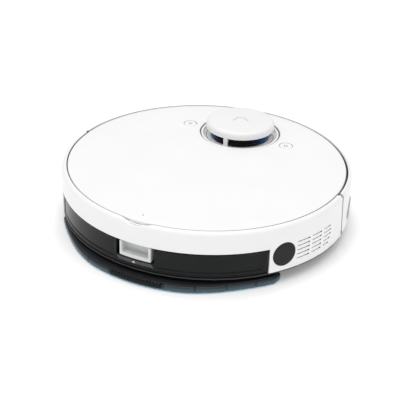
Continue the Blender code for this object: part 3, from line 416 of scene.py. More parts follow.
# %% Cut the side shell
side_shell = turned("side_shell_moulding", wall_profile(R - LIP))
scoop = lofted("scoop_back", [sector(R - LIP - 0.9 * MM, R - 4 * MM, -7, 7, z)
                              for z in (60 * MM, SHELL_TOP - 1.1 * MM)])
carve(side_shell, scoop, operation="UNION")
opening = sector(R - 15 * MM, R + 15 * MM, -OPENING_ANGLE, OPENING_ANGLE, 0)
opening_low = [Vector((p.x, p.y, SHELL_LOW - 5 * MM)) for p in opening]
opening_high = [Vector((p.x, p.y, TANK_TOP + 1.3 * MM)) for p in opening_low]
port_place = Matrix.Translation(polar(R, PORT_ANGLE, PORT_Z)) @ Matrix.Rotation(
    math.radians(PORT_ANGLE), 4, "Z") @ Matrix.Rotation(-math.pi / 2, 4, "X")
notch_r = 47 * MM
notch_place = Matrix.Translation(MIDDLE + Vector((0, R - 1 * MM, SHELL_TOP - 4 * MM + notch_r)))
carve(side_shell, half_space(SEAM_Y, False), lofted("tank_opening", [opening_low, opening_high]),
      rod("port_hole", PORT_R + 0.3 * MM, 20 * MM, port_place),
      rod("notch", notch_r, 16 * MM, notch_place @ LAID_X, 160))
print("side shell faces", len(side_shell.data.polygons))

# %% [markdown]
# The slits let the fan's air out. There are five rows of three, cut as bars with round ends, and each slit
# ends in a small dark dot. All the bars are made in one mesh, so that a single Boolean cuts them.

# %% Exhaust slits
SLIT_ROWS = [(48.0 - 5.3 * i) * MM for i in range(5)]
SLIT_COLUMNS = ((62.0, 68.0), (69.4, 74.6), (76.3, 81.0))
TAPER = (0.6, 0, 0, 0.6, 1.5)
SLIT_H = 1.5 * MM


def on_wall(radius, angle, z):
    return Matrix.Translation(polar(radius, angle, z)) @ Matrix.Rotation(math.radians(angle), 4, "Z")


cutters, dots = bmesh.new(), bmesh.new()
for z, taper in zip(SLIT_ROWS, TAPER):
    for first, last in SLIT_COLUMNS:
        last -= taper if last > 80 else 0
        size = (R * math.radians(last - first), 12 * MM, SLIT_H)
        box = bmesh.ops.create_cube(cutters, size=1, matrix=on_wall(R, (first + last) / 2, z)
                                    @ Matrix.Diagonal((*size, 1)))
        edges = {e for v in box["verts"] for e in v.link_edges}
        bmesh.ops.bevel(cutters, geom=list(edges), offset=0.5 * MM, segments=3, affect="EDGES", profile=0.5)
        bmesh.ops.create_cone(dots, cap_ends=True, segments=20, radius1=0.95 * MM, radius2=0.95 * MM,
                              depth=0.5 * MM, matrix=on_wall(R - 0.2 * MM, last - 0.25, z)
                              @ LAID_X)
carve(side_shell, new_object("slits", cutters))
show(side_shell, white_abs, "base", "white_shell", "side_shell")
show(new_object("vent_dots", dots), dark_abs, "base", "dark_plastic", edge=0)
vent_back = lofted("vent_back", [sector(R - 4.4 * MM, R - 3.4 * MM, 60.5, 82.5, z)
                                 for z in (23 * MM, 51 * MM)])
show(vent_back, dark_abs, "base", "dark_plastic")
print("slits", len(SLIT_ROWS) * len(SLIT_COLUMNS))

# %% [markdown]
# ## Bumper
# The bumper is the same wall over the front half. It stands off the shell by a narrow upright gap, backed by
# a grey strip with a black end. Its front has a dark sensor window, and its side a smaller grey one.

# %% Bumper and its windows
BUMPER_LIP = LID_R + 2.6 * MM


def teardrop(proud, shrink):
    """Rounded outline on the bumper's side, narrower at its upper end."""
    points = []
    for i in range(48):
        t = 2 * math.pi * i / 48
        z = 32.5 * MM + (12.2 * MM - shrink) * math.cos(t)
        half = 6.2 - 1.8 * max(0, math.cos(t)) - math.degrees(shrink / R)
        points.append(polar(R + proud, 106.5 + half * math.copysign(abs(math.sin(t)) ** 0.8, math.sin(t)), z))
    return points


bumper = turned("bumper_moulding", wall_profile(BUMPER_LIP))
front_hole = [sector(R - 12 * MM, R + 12 * MM, 152, 208, z) for z in (27 * MM, 43 * MM)]
side_hole = [teardrop(proud, -0.3 * MM) for proud in (-8 * MM, 8 * MM)]
carve(bumper, half_space(SEAM_Y - SEAM_GAP, True), lofted("front_hole", front_hole),
      lofted("side_hole", side_hole))
show(bumper, white_abs, "bumper", "white_shell", "bumper")
glass = [sector(R - WALL, R, 152.1, 207.9, z) for z in (27.3 * MM, 42.7 * MM)]
show(lofted("front_sensor_window", glass), window_acrylic, "bumper", "sensor_window", "bumper_window")
side_glass = lofted("side_sensor_window", [teardrop(proud, shrink) for proud, shrink in (
    (-WALL, 0), (0.5 * MM, 0), (1.1 * MM, 0.5 * MM), (1.4 * MM, 1.6 * MM), (1.5 * MM, 3.6 * MM))])
show(side_glass, side_grey, "bumper", "grey_plastic", "side_window")
print("bumper faces", len(bumper.data.polygons))

# %% [markdown]
# Each end of the bumper wears a grey rubber strip, which shows as a thin upright line, and a black foot at
# the bottom that stops the bumper's travel. The strip follows the wall's section, one narrow outline per
# height.

# %% Bumper end strips and stops
lean = SEAM_LEAN / (SHELL_TOP - SHELL_LOW)


def wall_radii(lip_r, z):
    """Outer and inner radius of the wall at a height."""
    reach = R - lip_r
    rise_above = max(0, z - (SHELL_TOP - reach))
    outer = lip_r + math.sqrt(max(0, reach ** 2 - rise_above ** 2))
    inner = lip_r + math.sqrt(max(0, (reach - WALL) ** 2 - rise_above ** 2))
    return outer, inner


def end_strip(name, side, low, high, thick, proud):
    rows = []
    for i in range(25):
        z = low + (high - low) * i / 24
        y = SEAM_Y - SEAM_GAP + (z - (SHELL_TOP + SHELL_LOW) / 2) * lean
        outer, inner = wall_radii(BUMPER_LIP, z)
        rows.append([MIDDLE + Vector((side * math.sqrt((r + d) ** 2 - v ** 2), v, z))
                     for r, d, v in ((outer, proud, y), (inner, 0, y), (inner, 0, y + thick),
                                     (outer, proud, y + thick))])
    return lofted(name, rows)


for side, name in ((1, "L"), (-1, "R")):
    show(end_strip("end_strip_" + name, side, SHELL_LOW + 0.3 * MM, SHELL_TOP - 0.6 * MM, 1.6 * MM,
                   -0.05 * MM), strip_rubber, "bumper", "rubber", edge=0)
    show(end_strip("end_stop_" + name, side, SHELL_LOW + 0.3 * MM, SHELL_LOW + 5.3 * MM, 1.9 * MM,
                   -0.01 * MM), stop_rubber, "bumper", "rubber", edge=0)
print("strips lean", round(math.degrees(math.atan(lean)), 1), "degrees")

# %% [markdown]
# ## Lid
# The lid lies almost flush inside the shell and falls away slightly towards its rim. A turned profile gives
# that fall as a soft curve, and holes are cut for the turret and the two buttons.

# %% Lid
LID_T = 2.4 * MM
FLAT_R = LID_R - 27.9 * MM
TURRET = MIDDLE + Vector((0, -94.4 * MM, 0))
BOWL_R = 51.2 * MM
LAMP_R = 155.2 * MM
BUTTONS = {}
for name in ("home_button", "power_button"):
    low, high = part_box(name)
    BUTTONS[name] = Vector(((low.x + high.x) / 2, (low.y + high.y) / 2, 0))
BUTTON_R = 8.2 * MM
rise = LID_TOP - SHELL_TOP
fall = [(FLAT_R + (LID_R - 1 * MM - FLAT_R) * t, LID_TOP - rise * t * t) for t in (i / 8 for i in range(9))]
lid_low = SHELL_TOP - LID_T - 1.4 * MM
lid_profile = ([(0, LID_TOP)] + fall + quarter(LID_R - 1 * MM, SHELL_TOP - 1 * MM, 1 * MM, 15, 90, 4)
               + [(LID_R, lid_low), (LID_R - LID_T, lid_low), (LID_R - LID_T, SHELL_TOP - LID_T),
                  (FLAT_R, LID_TOP - LID_T), (0, LID_TOP - LID_T)])
lid = turned("lid_moulding", lid_profile)
holes = [rod("turret_hole", BOWL_R + 0.6 * MM, 30 * MM,
             Matrix.Translation(TURRET + Vector((0, 0, LID_TOP))), 128)]
for name, spot in BUTTONS.items():
    holes.append(rod(name + "_hole", BUTTON_R + 0.6 * MM, 30 * MM,
                     Matrix.Translation(spot + Vector((0, 0, LID_TOP)))))
holes.append(rod("lamp_hole", 0.9 * MM, 2 * MM, Matrix.Translation(polar(LAMP_R, 0, LID_TOP)), 24))
carve(lid, *holes)
show(lid, white_abs, "lid", "white_shell", "top_cover")
lamp = turned("lid_lamp", [(0, LID_TOP - 0.25 * MM), (0.6 * MM, LID_TOP - 0.3 * MM),
                           (0.8 * MM, LID_TOP - 0.5 * MM),
                           (0.8 * MM, LID_TOP - 1 * MM), (0, LID_TOP - 1 * MM)], polar(LAMP_R, 0), 24)
show(lamp, dark_abs, "lid", "dark_plastic", edge=0)
print("lid faces", len(lid.data.polygons))

# %% [markdown]
# A grey ring fills the gap round the lid and shows as the fine line between lid and wall: it is painted
# shadow, put where the gap is in shade. It is painted darker along the sides, so its shade follows the
# distance from the middle line. The front half of the ring sits lower, because the bumper's lip passes over
# it when pressed.

# %% Painted gap shadow round the lid, and catches
gap_shadow_grey, tree, shader = finish("grey_painted_gap_shadow", Roughness=0.9)
place = add(tree, "SeparateXYZ", {0: add(tree, "TexCoord").outputs["Object"]})
off_line = add(tree, "Math", {0: place.outputs["X"]}, operation="ABSOLUTE")
share = add(tree, "MapRange", {"Value": off_line.outputs[0], "From Min": 60 * MM, "From Max": 150 * MM})
# painted shade: the grey ring in the lid's gap is darker away from the middle line
shade = add(tree, "Mix", {"Factor": share.outputs[0], 6: linear("8E8E88"), 7: linear("4E4E4E")},
            data_type="RGBA")
tree.links.new(shade.outputs[2], shader.inputs["Base Color"])


def ring(name, inner, outer, low, high, at=MIDDLE, steps=FINE):
    soft = min(0.2 * MM, (outer - inner) / 4)
    return turned(name, [(inner, high - soft), (inner + soft, high), (outer - soft, high),
                         (outer, high - soft),
                         (outer, low), (inner, low)], at, steps)


rear_gap_shadow = ring("lid_gap_shadow_rear", LID_R + 0.1 * MM, R - LIP - 0.05 * MM, SHELL_TOP - 3 * MM,
                 SHELL_TOP - 0.1 * MM)
notch_cut = rod("gap_shadow_notch", notch_r, 16 * MM, notch_place @ LAID_X, 160)
carve(rear_gap_shadow, half_space(SEAM_Y, False), notch_cut)
show(rear_gap_shadow, gap_shadow_grey, "base", "rubber", edge=0)
front_gap_shadow = ring("lid_gap_shadow_front", LID_R + 0.1 * MM, LID_R + 1.6 * MM, SHELL_TOP - 3.7 * MM,
                  SHELL_TOP - 2.7 * MM)
carve(front_gap_shadow, half_space(SEAM_Y - 2 * MM, True))
show(front_gap_shadow, gap_shadow_grey, "base", "rubber", edge=0)
for side, name in ((1, "R"), (-1, "L")):
    catch = turned("lid_catch_" + name, [(0, SHELL_TOP + 0.1 * MM), (1.1 * MM, SHELL_TOP),
                                         (1.6 * MM, SHELL_TOP - 0.4 * MM),
                                         (1.6 * MM, SHELL_TOP - 3 * MM), (0, SHELL_TOP - 3 * MM)],
                   polar(R - LIP + 0.3 * MM, side * 89, 0), 24)
    show(catch, stop_rubber, "base", "dark_plastic", edge=0)

print("rear seal faces", len(rear_gap_shadow.data.polygons))

# %% [markdown]
# ## Turret
# A white bowl sinks the turret into the lid. The cap stands over it on three posts, so that the laser can
# see out all round. Between them turns the rotor, behind a dark coated window.

# %% Bowl and cap
POST_W = 5.6 * MM
POST_TURN = -1
CAP_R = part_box("turret_cap")[1].x
CAP_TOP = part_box("turret_cap")[1].z
CAP_LOW = CAP_TOP - 9.1 * MM
DECK_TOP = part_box("main_frame")[1].z
BOWL_EDGE = BOWL_R - 1.3 * MM
RIM_TOP = SHELL_TOP + 0.2 * MM
bowl_lip = quarter(BOWL_EDGE - 0.9 * MM, RIM_TOP - 0.9 * MM, 0.9 * MM, 0, 90, 6)
bowl = turned("turret_bowl_moulding", bowl_lip + [
    (BOWL_EDGE, DECK_TOP + 0.3 * MM), (CAP_R - 0.1 * MM, DECK_TOP + 0.3 * MM),
    (CAP_R - 0.1 * MM, DECK_TOP + 1.1 * MM),
    (CAP_R + 1 * MM, DECK_TOP + 1.3 * MM), (CAP_R + 2.6 * MM, DECK_TOP + 2.6 * MM),
    (CAP_R + 3.6 * MM, RIM_TOP - 0.3 * MM), (CAP_R + 4.3 * MM, RIM_TOP)], TURRET)
# A grey ring in the gap round the bowl is painted shadow, standing for the shade in that gap.
turret_gap_shadow = ring("turret_gap_shadow", BOWL_EDGE + 0.1 * MM, BOWL_R + 0.5 * MM, SHELL_TOP - 3 * MM,
                   SHELL_TOP - 0.9 * MM, TURRET, 128)
show(turret_gap_shadow, gap_shadow_abs, "base", "rubber", edge=0)
show(bowl, white_abs_painted_light, "base", "white_shell", "turret_bowl")
under = CAP_LOW + 1.5 * MM
round_r = 5 * MM
shoulder = quarter(CAP_R - round_r, CAP_TOP - round_r, round_r, 4, 90)
cap = turned("turret_cap_moulding", [(0, CAP_TOP)] + shoulder + [
    (CAP_R, CAP_LOW), (CAP_R - 2.4 * MM, CAP_LOW), (CAP_R - 3.6 * MM, under), (0, under)], TURRET)
foot = DECK_TOP + 1.6 * MM
for number in range(3):
    turn = Matrix.Translation(TURRET) @ Matrix.Rotation(math.radians(POST_TURN + 120 * number), 4, "Z")
    place = turn @ Matrix.Translation((0, CAP_R - 2.6 * MM, (foot + under) / 2))
    carve(cap, bar("post", (POST_W, 3.4 * MM, under - foot + 1 * MM), place, 0.6 * MM), operation="UNION")
print("cap top", round(CAP_TOP / MM, 1), "mm")


# %% [markdown]
# The cap carries a shallow pressed chevron that points to the front. It is cut with a thin bent bar, and a
# grey line of painted shade lies at the bottom of the cut.

# %% Chevron
def stroke(name, points, width, height, z):
    """A flat ribbon of the given width along a line of points."""
    sides = [[], []]
    for i, p in enumerate(points):
        ahead = (Vector(points[min(i + 1, len(points) - 1)]) - Vector(points[max(i - 1, 0)])).normalized()
        out = Vector((-ahead.y, ahead.x)) * width / 2
        for side, sign in ((0, 1), (1, -1)):
            sides[side].append((p[0] + sign * out.x, p[1] + sign * out.y))
    outline = sides[0] + sides[1][::-1]
    return lofted(name, [[Vector((x, y, level)) for x, y in outline] for level in (z, z + height)])


heading = Matrix.Rotation(HEADING, 3, "Z")
chevron = []
for x, y in ((-10, 3), (-3.4, -6.2), (0, -7.2), (3.4, -6.2), (10, 3)):
    chevron.append((TURRET + heading @ Vector((x, y, 0)) * MM).to_2d())
carve(cap, stroke("chevron", chevron, 1.2 * MM, 1 * MM, CAP_TOP - 0.4 * MM))
# painted shade: a grey line at the bottom of the groove
show(stroke("chevron_painted_shade", chevron, 1 * MM, 0.2 * MM, CAP_TOP - 0.4 * MM), side_grey, "base",
     "grey_plastic", edge=0)
show(cap, white_abs_painted_shade, "base", "white_shell", "turret_cap")
print("chevron points", len(chevron))

# %% Rotor and its lens
ROTOR_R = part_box("lidar_rotor")[1].x
rotor_low, rotor_high = DECK_TOP + 1.9 * MM, CAP_LOW - 0.7 * MM
hub_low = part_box("lidar_belt")[0].z - 2 * MM
rotor = turned("rotor_window_drum", [
    (0, rotor_high), (ROTOR_R, rotor_high), (ROTOR_R, rotor_low), (17 * MM, rotor_low), (17 * MM, hub_low),
    (5.7 * MM, hub_low), (5.7 * MM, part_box("lidar_rotor")[0].z), (0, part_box("lidar_rotor")[0].z)], TURRET)
lens_z = (rotor_low + rotor_high) / 2
lens_place = Matrix.Translation(TURRET + Vector((0, ROTOR_R, lens_z))) @ LAID_X
carve(rotor, rod("lens_bore", 3.6 * MM, 16 * MM, lens_place))
show(rotor, window_painted_sheen, "lidar_rotor", "sensor_window", "lidar_rotor")
print("rotor radius", round(ROTOR_R / MM, 1), "mm")

# %% [markdown]
# ## Buttons
# Each button is a shallow dished disc in its own gap, and a grey ring of painted shade fills that gap. One is
# marked with a plain house and the other with the usual broken circle and bar for power. The marks are grey
# ink, so they are thin ribbons just over the disc.

# %% Buttons and their marks
for name, at in BUTTONS.items():
    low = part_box(name)[0].z
    disc = turned(name + "_cap", [(0, LID_TOP - 0.15 * MM), (BUTTON_R - 1.6 * MM, LID_TOP - 0.1 * MM)]
                  + quarter(BUTTON_R - 0.6 * MM, LID_TOP - 0.6 * MM, 0.6 * MM, 0, 90, 4)
                  + [(BUTTON_R, LID_TOP - LID_T), (3 * MM, LID_TOP - LID_T), (3 * MM, low), (0, low)], at, 64)
    show(disc, white_abs, name, "white_shell", name)
    level = LID_TOP - 0.12 * MM
    # painted shade: a grey ring fills the gap round the disc
    gap_shade_band = ring(name + "_ring", BUTTON_R + 0.05 * MM, BUTTON_R + 0.55 * MM, LID_TOP - 1.4 * MM,
                  LID_TOP - 0.15 * MM, at, 64)
    show(gap_shade_band, ink_and_gap_shade, "lid", "grey_plastic", edge=0)
    if name == "home_button":
        lines = [((-2.4, 0.2), (0, 2.4), (2.4, 0.2)), ((-1.7, 0.6), (-1.7, -1.9), (1.7, -1.9), (1.7, 0.6))]
    else:
        turns = [math.radians(40 + 280 * i / 20) for i in range(21)]
        lines = [[(2.3 * math.sin(t), 2.3 * math.cos(t)) for t in turns], ((0, 0.4), (0, 2.9))]
    for number, line in enumerate(lines):
        # the marks read upright from the rear, so they are turned half round
        points = [(at.x - x * MM, at.y - y * MM) for x, y in line]
        show(stroke(f"{name}_mark_{number}", points, 0.75 * MM, 0.05 * MM, level), ink_and_gap_shade, name,
             "grey_plastic", edge=0)
print("buttons", list(BUTTONS))

# %% [markdown]
# ## Port plug
# A round cap closes the port beside the tank. Its face is a shallow dome, and its rim is rounded off.

# %% Port plug
plug = turned("port_plug_cap", [(0, 0.5 * MM), (PORT_R - 3 * MM, 0.4 * MM), (PORT_R - 1 * MM, 0.3 * MM)]
              + quarter(PORT_R - 0.7 * MM, -0.5 * MM, 0.7 * MM, 10, 90, 4)
              + [(PORT_R, -4 * MM), (PORT_R - 3 * MM, -4 * MM), (PORT_R - 3 * MM, -7 * MM), (0, -7 * MM)],
              Vector((0, 0, 0)), 96)
plug.data.transform(port_place)
show(plug, port_abs, "port_plug", "dark_plastic", "port_plug")
print("plug radius", round(PORT_R / MM, 1), "mm")


# %% [markdown]
# ## Tank
# The tank's outer wall is one smoked moulding. Two shallow panels lie either side of the latch, a rounded
# ridge runs along the bottom, and a groove under it parts the tank from the floor. The wall's radius is
# worked out for each angle and height, and the outlines are joined from the bottom up.

# %% Tank wall
TANK_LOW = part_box("water_tank")[0].z
TANK_R = R - 0.3 * MM
TANK_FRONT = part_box("water_tank")[0].y
LATCH_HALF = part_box("tank_latch")[1].x
LATCH_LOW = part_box("tank_latch")[0].z
POCKET_HALF = LATCH_HALF + 3.9 * MM


def ease(value, start, end):
    t = min(1, max(0, (value - start) / (end - start)))
    return t * t * (3 - 2 * t)


def tank_radius(angle, z):
    x = abs(TANK_R * math.sin(math.radians(angle)))
    end = TANK_R * math.sin(math.radians(TANK_ANGLE))
    beside = ease(x, POCKET_HALF + 2.4 * MM, POCKET_HALF + 3.6 * MM) * (
        1 - ease(x, end - 4.6 * MM, end - 3.4 * MM))
    between = ease(z, 23.2 * MM, 24.6 * MM) * (1 - ease(z, TANK_TOP - 1.6 * MM, TANK_TOP - 0.8 * MM))
    panel = 0.9 * MM * beside * between
    groove = 1.8 * MM * (1 - ease(z, 19.2 * MM, 20.6 * MM)) * ease(z, TANK_LOW - 1 * MM, TANK_LOW + 0.4 * MM)
    return TANK_R - panel - groove


levels = [TANK_LOW + (TANK_TOP - TANK_LOW) * i / 44 for i in range(45)]
angles = [-TANK_ANGLE + 2 * TANK_ANGLE * i / 220 for i in range(221)]
side_r = R - WALL - 5 * MM
outlines = []
for z in levels:
    rim = [polar(tank_radius(a, z), a, z) for a in angles]
    back = [polar(side_r, TANK_ANGLE, z), polar(side_r, -TANK_ANGLE, z)]
    front = [Vector((back[0].x, TANK_FRONT, z)), Vector((back[1].x, TANK_FRONT, z))]
    outlines.append(rim + [back[0], front[0], front[1], back[1]])
tank = lofted("tank_moulding", outlines)
POCKET_Y = MIDDLE.y + R - 35 * MM
pocket = Matrix.Translation((0, POCKET_Y + 30 * MM, LATCH_LOW + 30 * MM - 0.3 * MM))
fill_at = (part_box("water_plug")[0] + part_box("water_plug")[1]) / 2
carve(tank, bar("pocket", (2 * POCKET_HALF, 60 * MM, 60 * MM), pocket),
      rod("fill_hole", 7 * MM, 5 * MM, Matrix.Translation(fill_at)))
show(tank, smoked, "tank", "smoked_plastic", "water_tank", edge=0.2 * MM)
print("tank faces", len(tank.data.polygons))

# %% [markdown]
# The grip under the latch is a strip of small slanted ribs, with a plain arrow over them. Real ribs stand
# about 1.5 mm apart. They are drawn 2.1 mm apart, so that they still show from a metre away.

# %% Grip ribs and arrow
rib_gap = 2.1 * MM
RIB_SLANT = math.radians(35)
ribs = int(45 * MM / rib_gap)
bm = bmesh.new()
for number in range(ribs):
    x = -21 * MM + rib_gap * number
    angle = -math.degrees(math.asin(x / TANK_R))
    place = Matrix.Translation(polar(TANK_R - 0.05 * MM, angle, 24.9 * MM)) @ Matrix.Rotation(
        math.radians(angle), 4, "Z") @ Matrix.Rotation(RIB_SLANT, 4, "Y")
    bmesh.ops.create_cube(bm, size=1, matrix=place @ Matrix.Diagonal((0.8 * MM, 0.6 * MM, 5 * MM, 1)))
# painted highlight: the ribs are lighter than the tank
show(new_object("grip_ribs", bm), rib_painted_highlight, "tank", "smoked_plastic", edge=0)
arrow = [polar(TANK_R + proud, angle, z * MM) for proud in (0, 0.28 * MM)
         for angle, z in ((-1.0, 23.6), (0.4, 23.6), (-0.3, 25.6))]
show(lofted("grip_arrow", [arrow[:3], arrow[3:]]), white_ink, "tank", "white_shell", edge=0)
print("grip ribs", ribs)

# %% [markdown]
# ## Latch
# The latch is a silver frame round a finger recess. It is cut to the body's curve at the front, and its inner
# edges are well rounded so that a finger can pull on them.

# %% Latch
latch_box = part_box("tank_latch")
latch_size = latch_box[1] - latch_box[0]
latch_middle = (latch_box[1] + latch_box[0]) / 2
latch = bar("latch_moulding", (latch_size.x, latch_size.y + 6 * MM, latch_size.z),
            Matrix.Translation(latch_middle + Vector((0, 3 * MM, 0))))
carve(latch, rod("latch_front", R - 0.5 * MM, 400 * MM, Matrix.Translation(MIDDLE), 360),
      operation="INTERSECT")
recess = Matrix.Translation((0, MIDDLE.y + R + 10 * MM, LATCH_LOW + 4.5 * MM + 20 * MM))
carve(latch, bar("recess", (2 * (LATCH_HALF - 3.2 * MM), 40 * MM, 40 * MM), recess, 1.6 * MM))
show(latch, silver, "tank_latch", "silver_latch", "tank_latch", edge=0.6 * MM)
print("latch width", round(latch_size.x / MM, 1), "mm")

# %% [markdown]
# ## Mop plate
# The plate hangs under the rear. Its dark top is flat, and a rounded tinted rim runs round its edge, parted
# by small notches where the cloth's tabs hook on. Ribs stiffen it beside the notches.

# %% Plate outline
PLATE_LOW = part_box("mop_plate")[0].z
PLATE_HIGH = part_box("mop_plate")[1].z
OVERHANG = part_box("mop_plate")[1].y - MIDDLE.y - R
PLATE_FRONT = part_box("mop_plate")[0].y - MIDDLE.y
CORNER = 11 * MM
PLATE_END = 53


def plate_radius(angle):
    return R + OVERHANG * (1 - ease(abs(angle), 15, 45))


def plate_outline(inset, z, steps=180):
    turns = [-PLATE_END + 2 * PLATE_END * i / steps for i in range(steps + 1)]
    points = [polar(plate_radius(angle) - inset, angle, z) for angle in turns]
    x = plate_radius(PLATE_END) * math.sin(math.radians(PLATE_END)) - CORNER + 2 * MM
    y = PLATE_FRONT + CORNER
    turns = [math.pi / 2 * i / 8 for i in range(9)]
    side = [(x + (CORNER - inset) * math.cos(a), y - (CORNER - inset) * math.sin(a)) for a in turns]
    left = [MIDDLE + Vector((-px, py, z)) for px, py in side]
    right = [MIDDLE + Vector((px, py, z)) for px, py in side[::-1]]
    return points + left + right


plate = lofted("mop_plate_top", [plate_outline(2.4 * MM, z) for z in (PLATE_LOW + 0.2 * MM, PLATE_HIGH)])
show(plate, dark_abs, "mop", "smoked_plastic", "mop_plate", edge=0.4 * MM)
rim_steps = [(1.2 * MM, PLATE_LOW), (1.2 * MM, PLATE_LOW - 0.6 * MM), (0.2 * MM, PLATE_LOW - 0.6 * MM),
             (0, PLATE_LOW + 2.2 * MM), (0.3 * MM, PLATE_LOW + 3.8 * MM), (1.2 * MM, PLATE_LOW + 4.8 * MM),
             (2.2 * MM, PLATE_LOW + 5.1 * MM)]
rim = lofted("mop_plate_rim", [plate_outline(inset, z) for inset, z in rim_steps])
print("plate stands", round(OVERHANG / MM, 1), "mm past the body")

# %% Rim notches, ribs and tab
NOTCHES = [-20.5, -9.5] + [12 + 11.1 * i for i in range(4)]
for number, angle in enumerate(NOTCHES):
    r = plate_radius(angle)
    carve(rim, bar("rim_notch", (1.8 * MM, 7 * MM, 12 * MM), on_wall(r, angle, PLATE_LOW + 4 * MM)))
    show(bar(f"rim_hook_{number}", (1.5 * MM, 3 * MM, 5 * MM),
             on_wall(r - 1.9 * MM, angle, PLATE_LOW + 2.2 * MM), 0.3 * MM),
         dark_abs, "mop", "dark_plastic", edge=0)
show(rim, tinted_with_painted_glow, "mop", "smoked_plastic", edge=0)
clip_turns = [NOTCHES[1] + 0.5 + 20.5 * i / 40 for i in range(41)]
clip_back = [NOTCHES[1] + 21 - 20.5 * i / 40 for i in range(41)]
clip = [[polar(plate_radius(a) + proud, a, z) for a in clip_turns]
        + [polar(plate_radius(a) - 4 * MM, a, z) for a in clip_back]
        for proud, z in ((0.05 * MM, PLATE_LOW - 0.2 * MM), (0.3 * MM, PLATE_LOW + 2 * MM),
                         (0.1 * MM, PLATE_LOW + 4 * MM), (-1 * MM, PLATE_LOW + 5.3 * MM))]
show(lofted("plate_clip", clip), smoked, "mop", "smoked_plastic", edge=0)
bm = bmesh.new()
for number in range(16):
    angle = -8.6 + 1.25 * number
    place = on_wall(plate_radius(angle) - 1.9 * MM, angle, PLATE_LOW + 5 * MM) @ Matrix.Rotation(
        RIB_SLANT, 4, "Z") @ Matrix.Rotation(math.radians(30), 4, "X")
    bmesh.ops.create_cube(bm, size=1, matrix=place @ Matrix.Diagonal((0.7 * MM, 5 * MM, 0.8 * MM, 1)))
# painted highlight: the ribs are lighter than the plate
show(new_object("plate_ribs", bm), rib_painted_highlight, "mop", "smoked_plastic", edge=0)
tab = lofted("plate_tab", [sector(R + OVERHANG - 7 * MM, R + OVERHANG - 2.6 * MM, 3.6, 11.2, z, 16)
                           for z in (PLATE_LOW + 4 * MM, PLATE_LOW + 5.9 * MM)])
show(tab, tinted_with_painted_glow, "mop", "smoked_plastic", edge=0.4 * MM)
print("rim notches", len(NOTCHES))

# %% [markdown]
# ## Mop cloth
# The cloth is a thin foam pad faced with microfibre. Its edge is soft and a little uneven, and short fibres
# stand out from it. It is modelled with a crowned section and a gentle waver, because the plate holds it flat
# everywhere else and a simulation would have nothing to do.

# %% Cloth pad with a soft edge
PAD_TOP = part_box("mop_pad")[1].z
pad_steps = [(3 * MM, 0), (1.7 * MM, 0.25 * MM), (1 * MM, 1 * MM), (1.3 * MM, 2 * MM), (2.2 * MM, PAD_TOP)]
rows = []
for inset, z in pad_steps:
    row = plate_outline(inset, z)
    for i, p in enumerate(row):
        waver = 0.18 * MM * math.sin(i * 0.9) + 0.12 * MM * math.sin(i * 2.3 + 1)
        inward = (MIDDLE - Vector((p.x, p.y, 0))).normalized()
        row[i] = p + inward * (waver + 0.3 * MM)
    rows.append(row)
pad = lofted("mop_cloth", rows)
show(pad, cloth, "mop", "mop_cloth", "mop_pad", edge=0)
print("outlines in the cloth", len(rows))

# %% Fibres along the cloth's edge
def spike(bm, foot, tip):
    """A thin three-sided spike from a triangle of points to a tip."""
    corners = [bm.verts.new(p) for p in foot]
    top = bm.verts.new(tip)
    bm.faces.new(corners)
    for i in range(3):
        bm.faces.new((corners[i - 1], corners[i], top))


FIBRES = 900
EDGE_POINTS = 181
random.seed(7)
bm = bmesh.new()
edge_points = plate_outline(1.0 * MM, 0)[:EDGE_POINTS]
for number in range(FIBRES):
    here = number % EDGE_POINTS
    spot = edge_points[here]
    if here < EDGE_POINTS - 1:
        spot = spot.lerp(edge_points[here + 1], random.random())
    out = (spot - MIDDLE).normalized()
    base = spot + Vector((0, 0, random.uniform(0.4, 2.4) * MM))
    bend = Vector((random.uniform(-0.6, 0.6), random.uniform(-0.6, 0.6), random.uniform(-0.35, 0.25)))
    end = base + (out + bend).normalized() * random.uniform(0.7, 1.3) * MM
    end.z = max(end.z, 0.15 * MM)
    across = out.cross(Vector((0, 0, 1))) * 0.12 * MM
    spike(bm, (base + across, base - across, base + Vector((0, 0, 0.2 * MM))), end)
fibres = new_object("cloth_fibres", bm)
show(fibres, cloth, "mop", "mop_cloth", edge=0)
print("fibres", FIBRES)

# %% [markdown]
# ## Brushes
# The main brush is a core with rubber fins that meet in a V, so that they carry dirt to the middle. Every
# other fin is a little shorter. The side brush has three tufts of long bristles that fan out.

# %% Main brush
brush_low, brush_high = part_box("main_brush")
brush_at = (brush_low + brush_high) / 2
BRUSH_R = (brush_high.z - brush_low.z) / 2
BRUSH_HALF = brush_high.x - 6 * MM
core = rod("brush_core", 10 * MM, 2 * BRUSH_HALF, Matrix.Translation(brush_at) @ LAID_Y, 48)
carve(core, rod("journals", 3 * MM, 2 * brush_high.x, Matrix.Translation(brush_at) @ LAID_Y, 32),
      operation="UNION")
show(core, brush_rubber, "main_brush", "brush_blue", "main_brush", edge=0.5 * MM)
fin_count = 6
for number in range(fin_count):
    rows = []
    for i in range(25):
        x = (-1 + 2 * i / 24) * (BRUSH_HALF - 2 * MM)
        turn = 2 * math.pi * number / fin_count + 0.5 * (1 - abs(x) / BRUSH_HALF)
        out = Vector((0, math.cos(turn), math.sin(turn)))
        side = Vector((0, -math.sin(turn), math.cos(turn)))
        along = brush_at + Vector((x, 0, 0))
        tip_r = BRUSH_R - (0.3 * MM if number % 2 else 1.2 * MM)
        rows.append([along + out * 9 * MM + side * 1 * MM, along + out * tip_r + side * 0.5 * MM,
                     along + out * tip_r - side * 0.5 * MM, along + out * 9 * MM - side * 1 * MM])
    show(lofted(f"brush_fin_{number}", rows), brush_rubber, "main_brush", "brush_blue", edge=0.2 * MM)
print("brush radius", round(BRUSH_R / MM, 1), "mm")

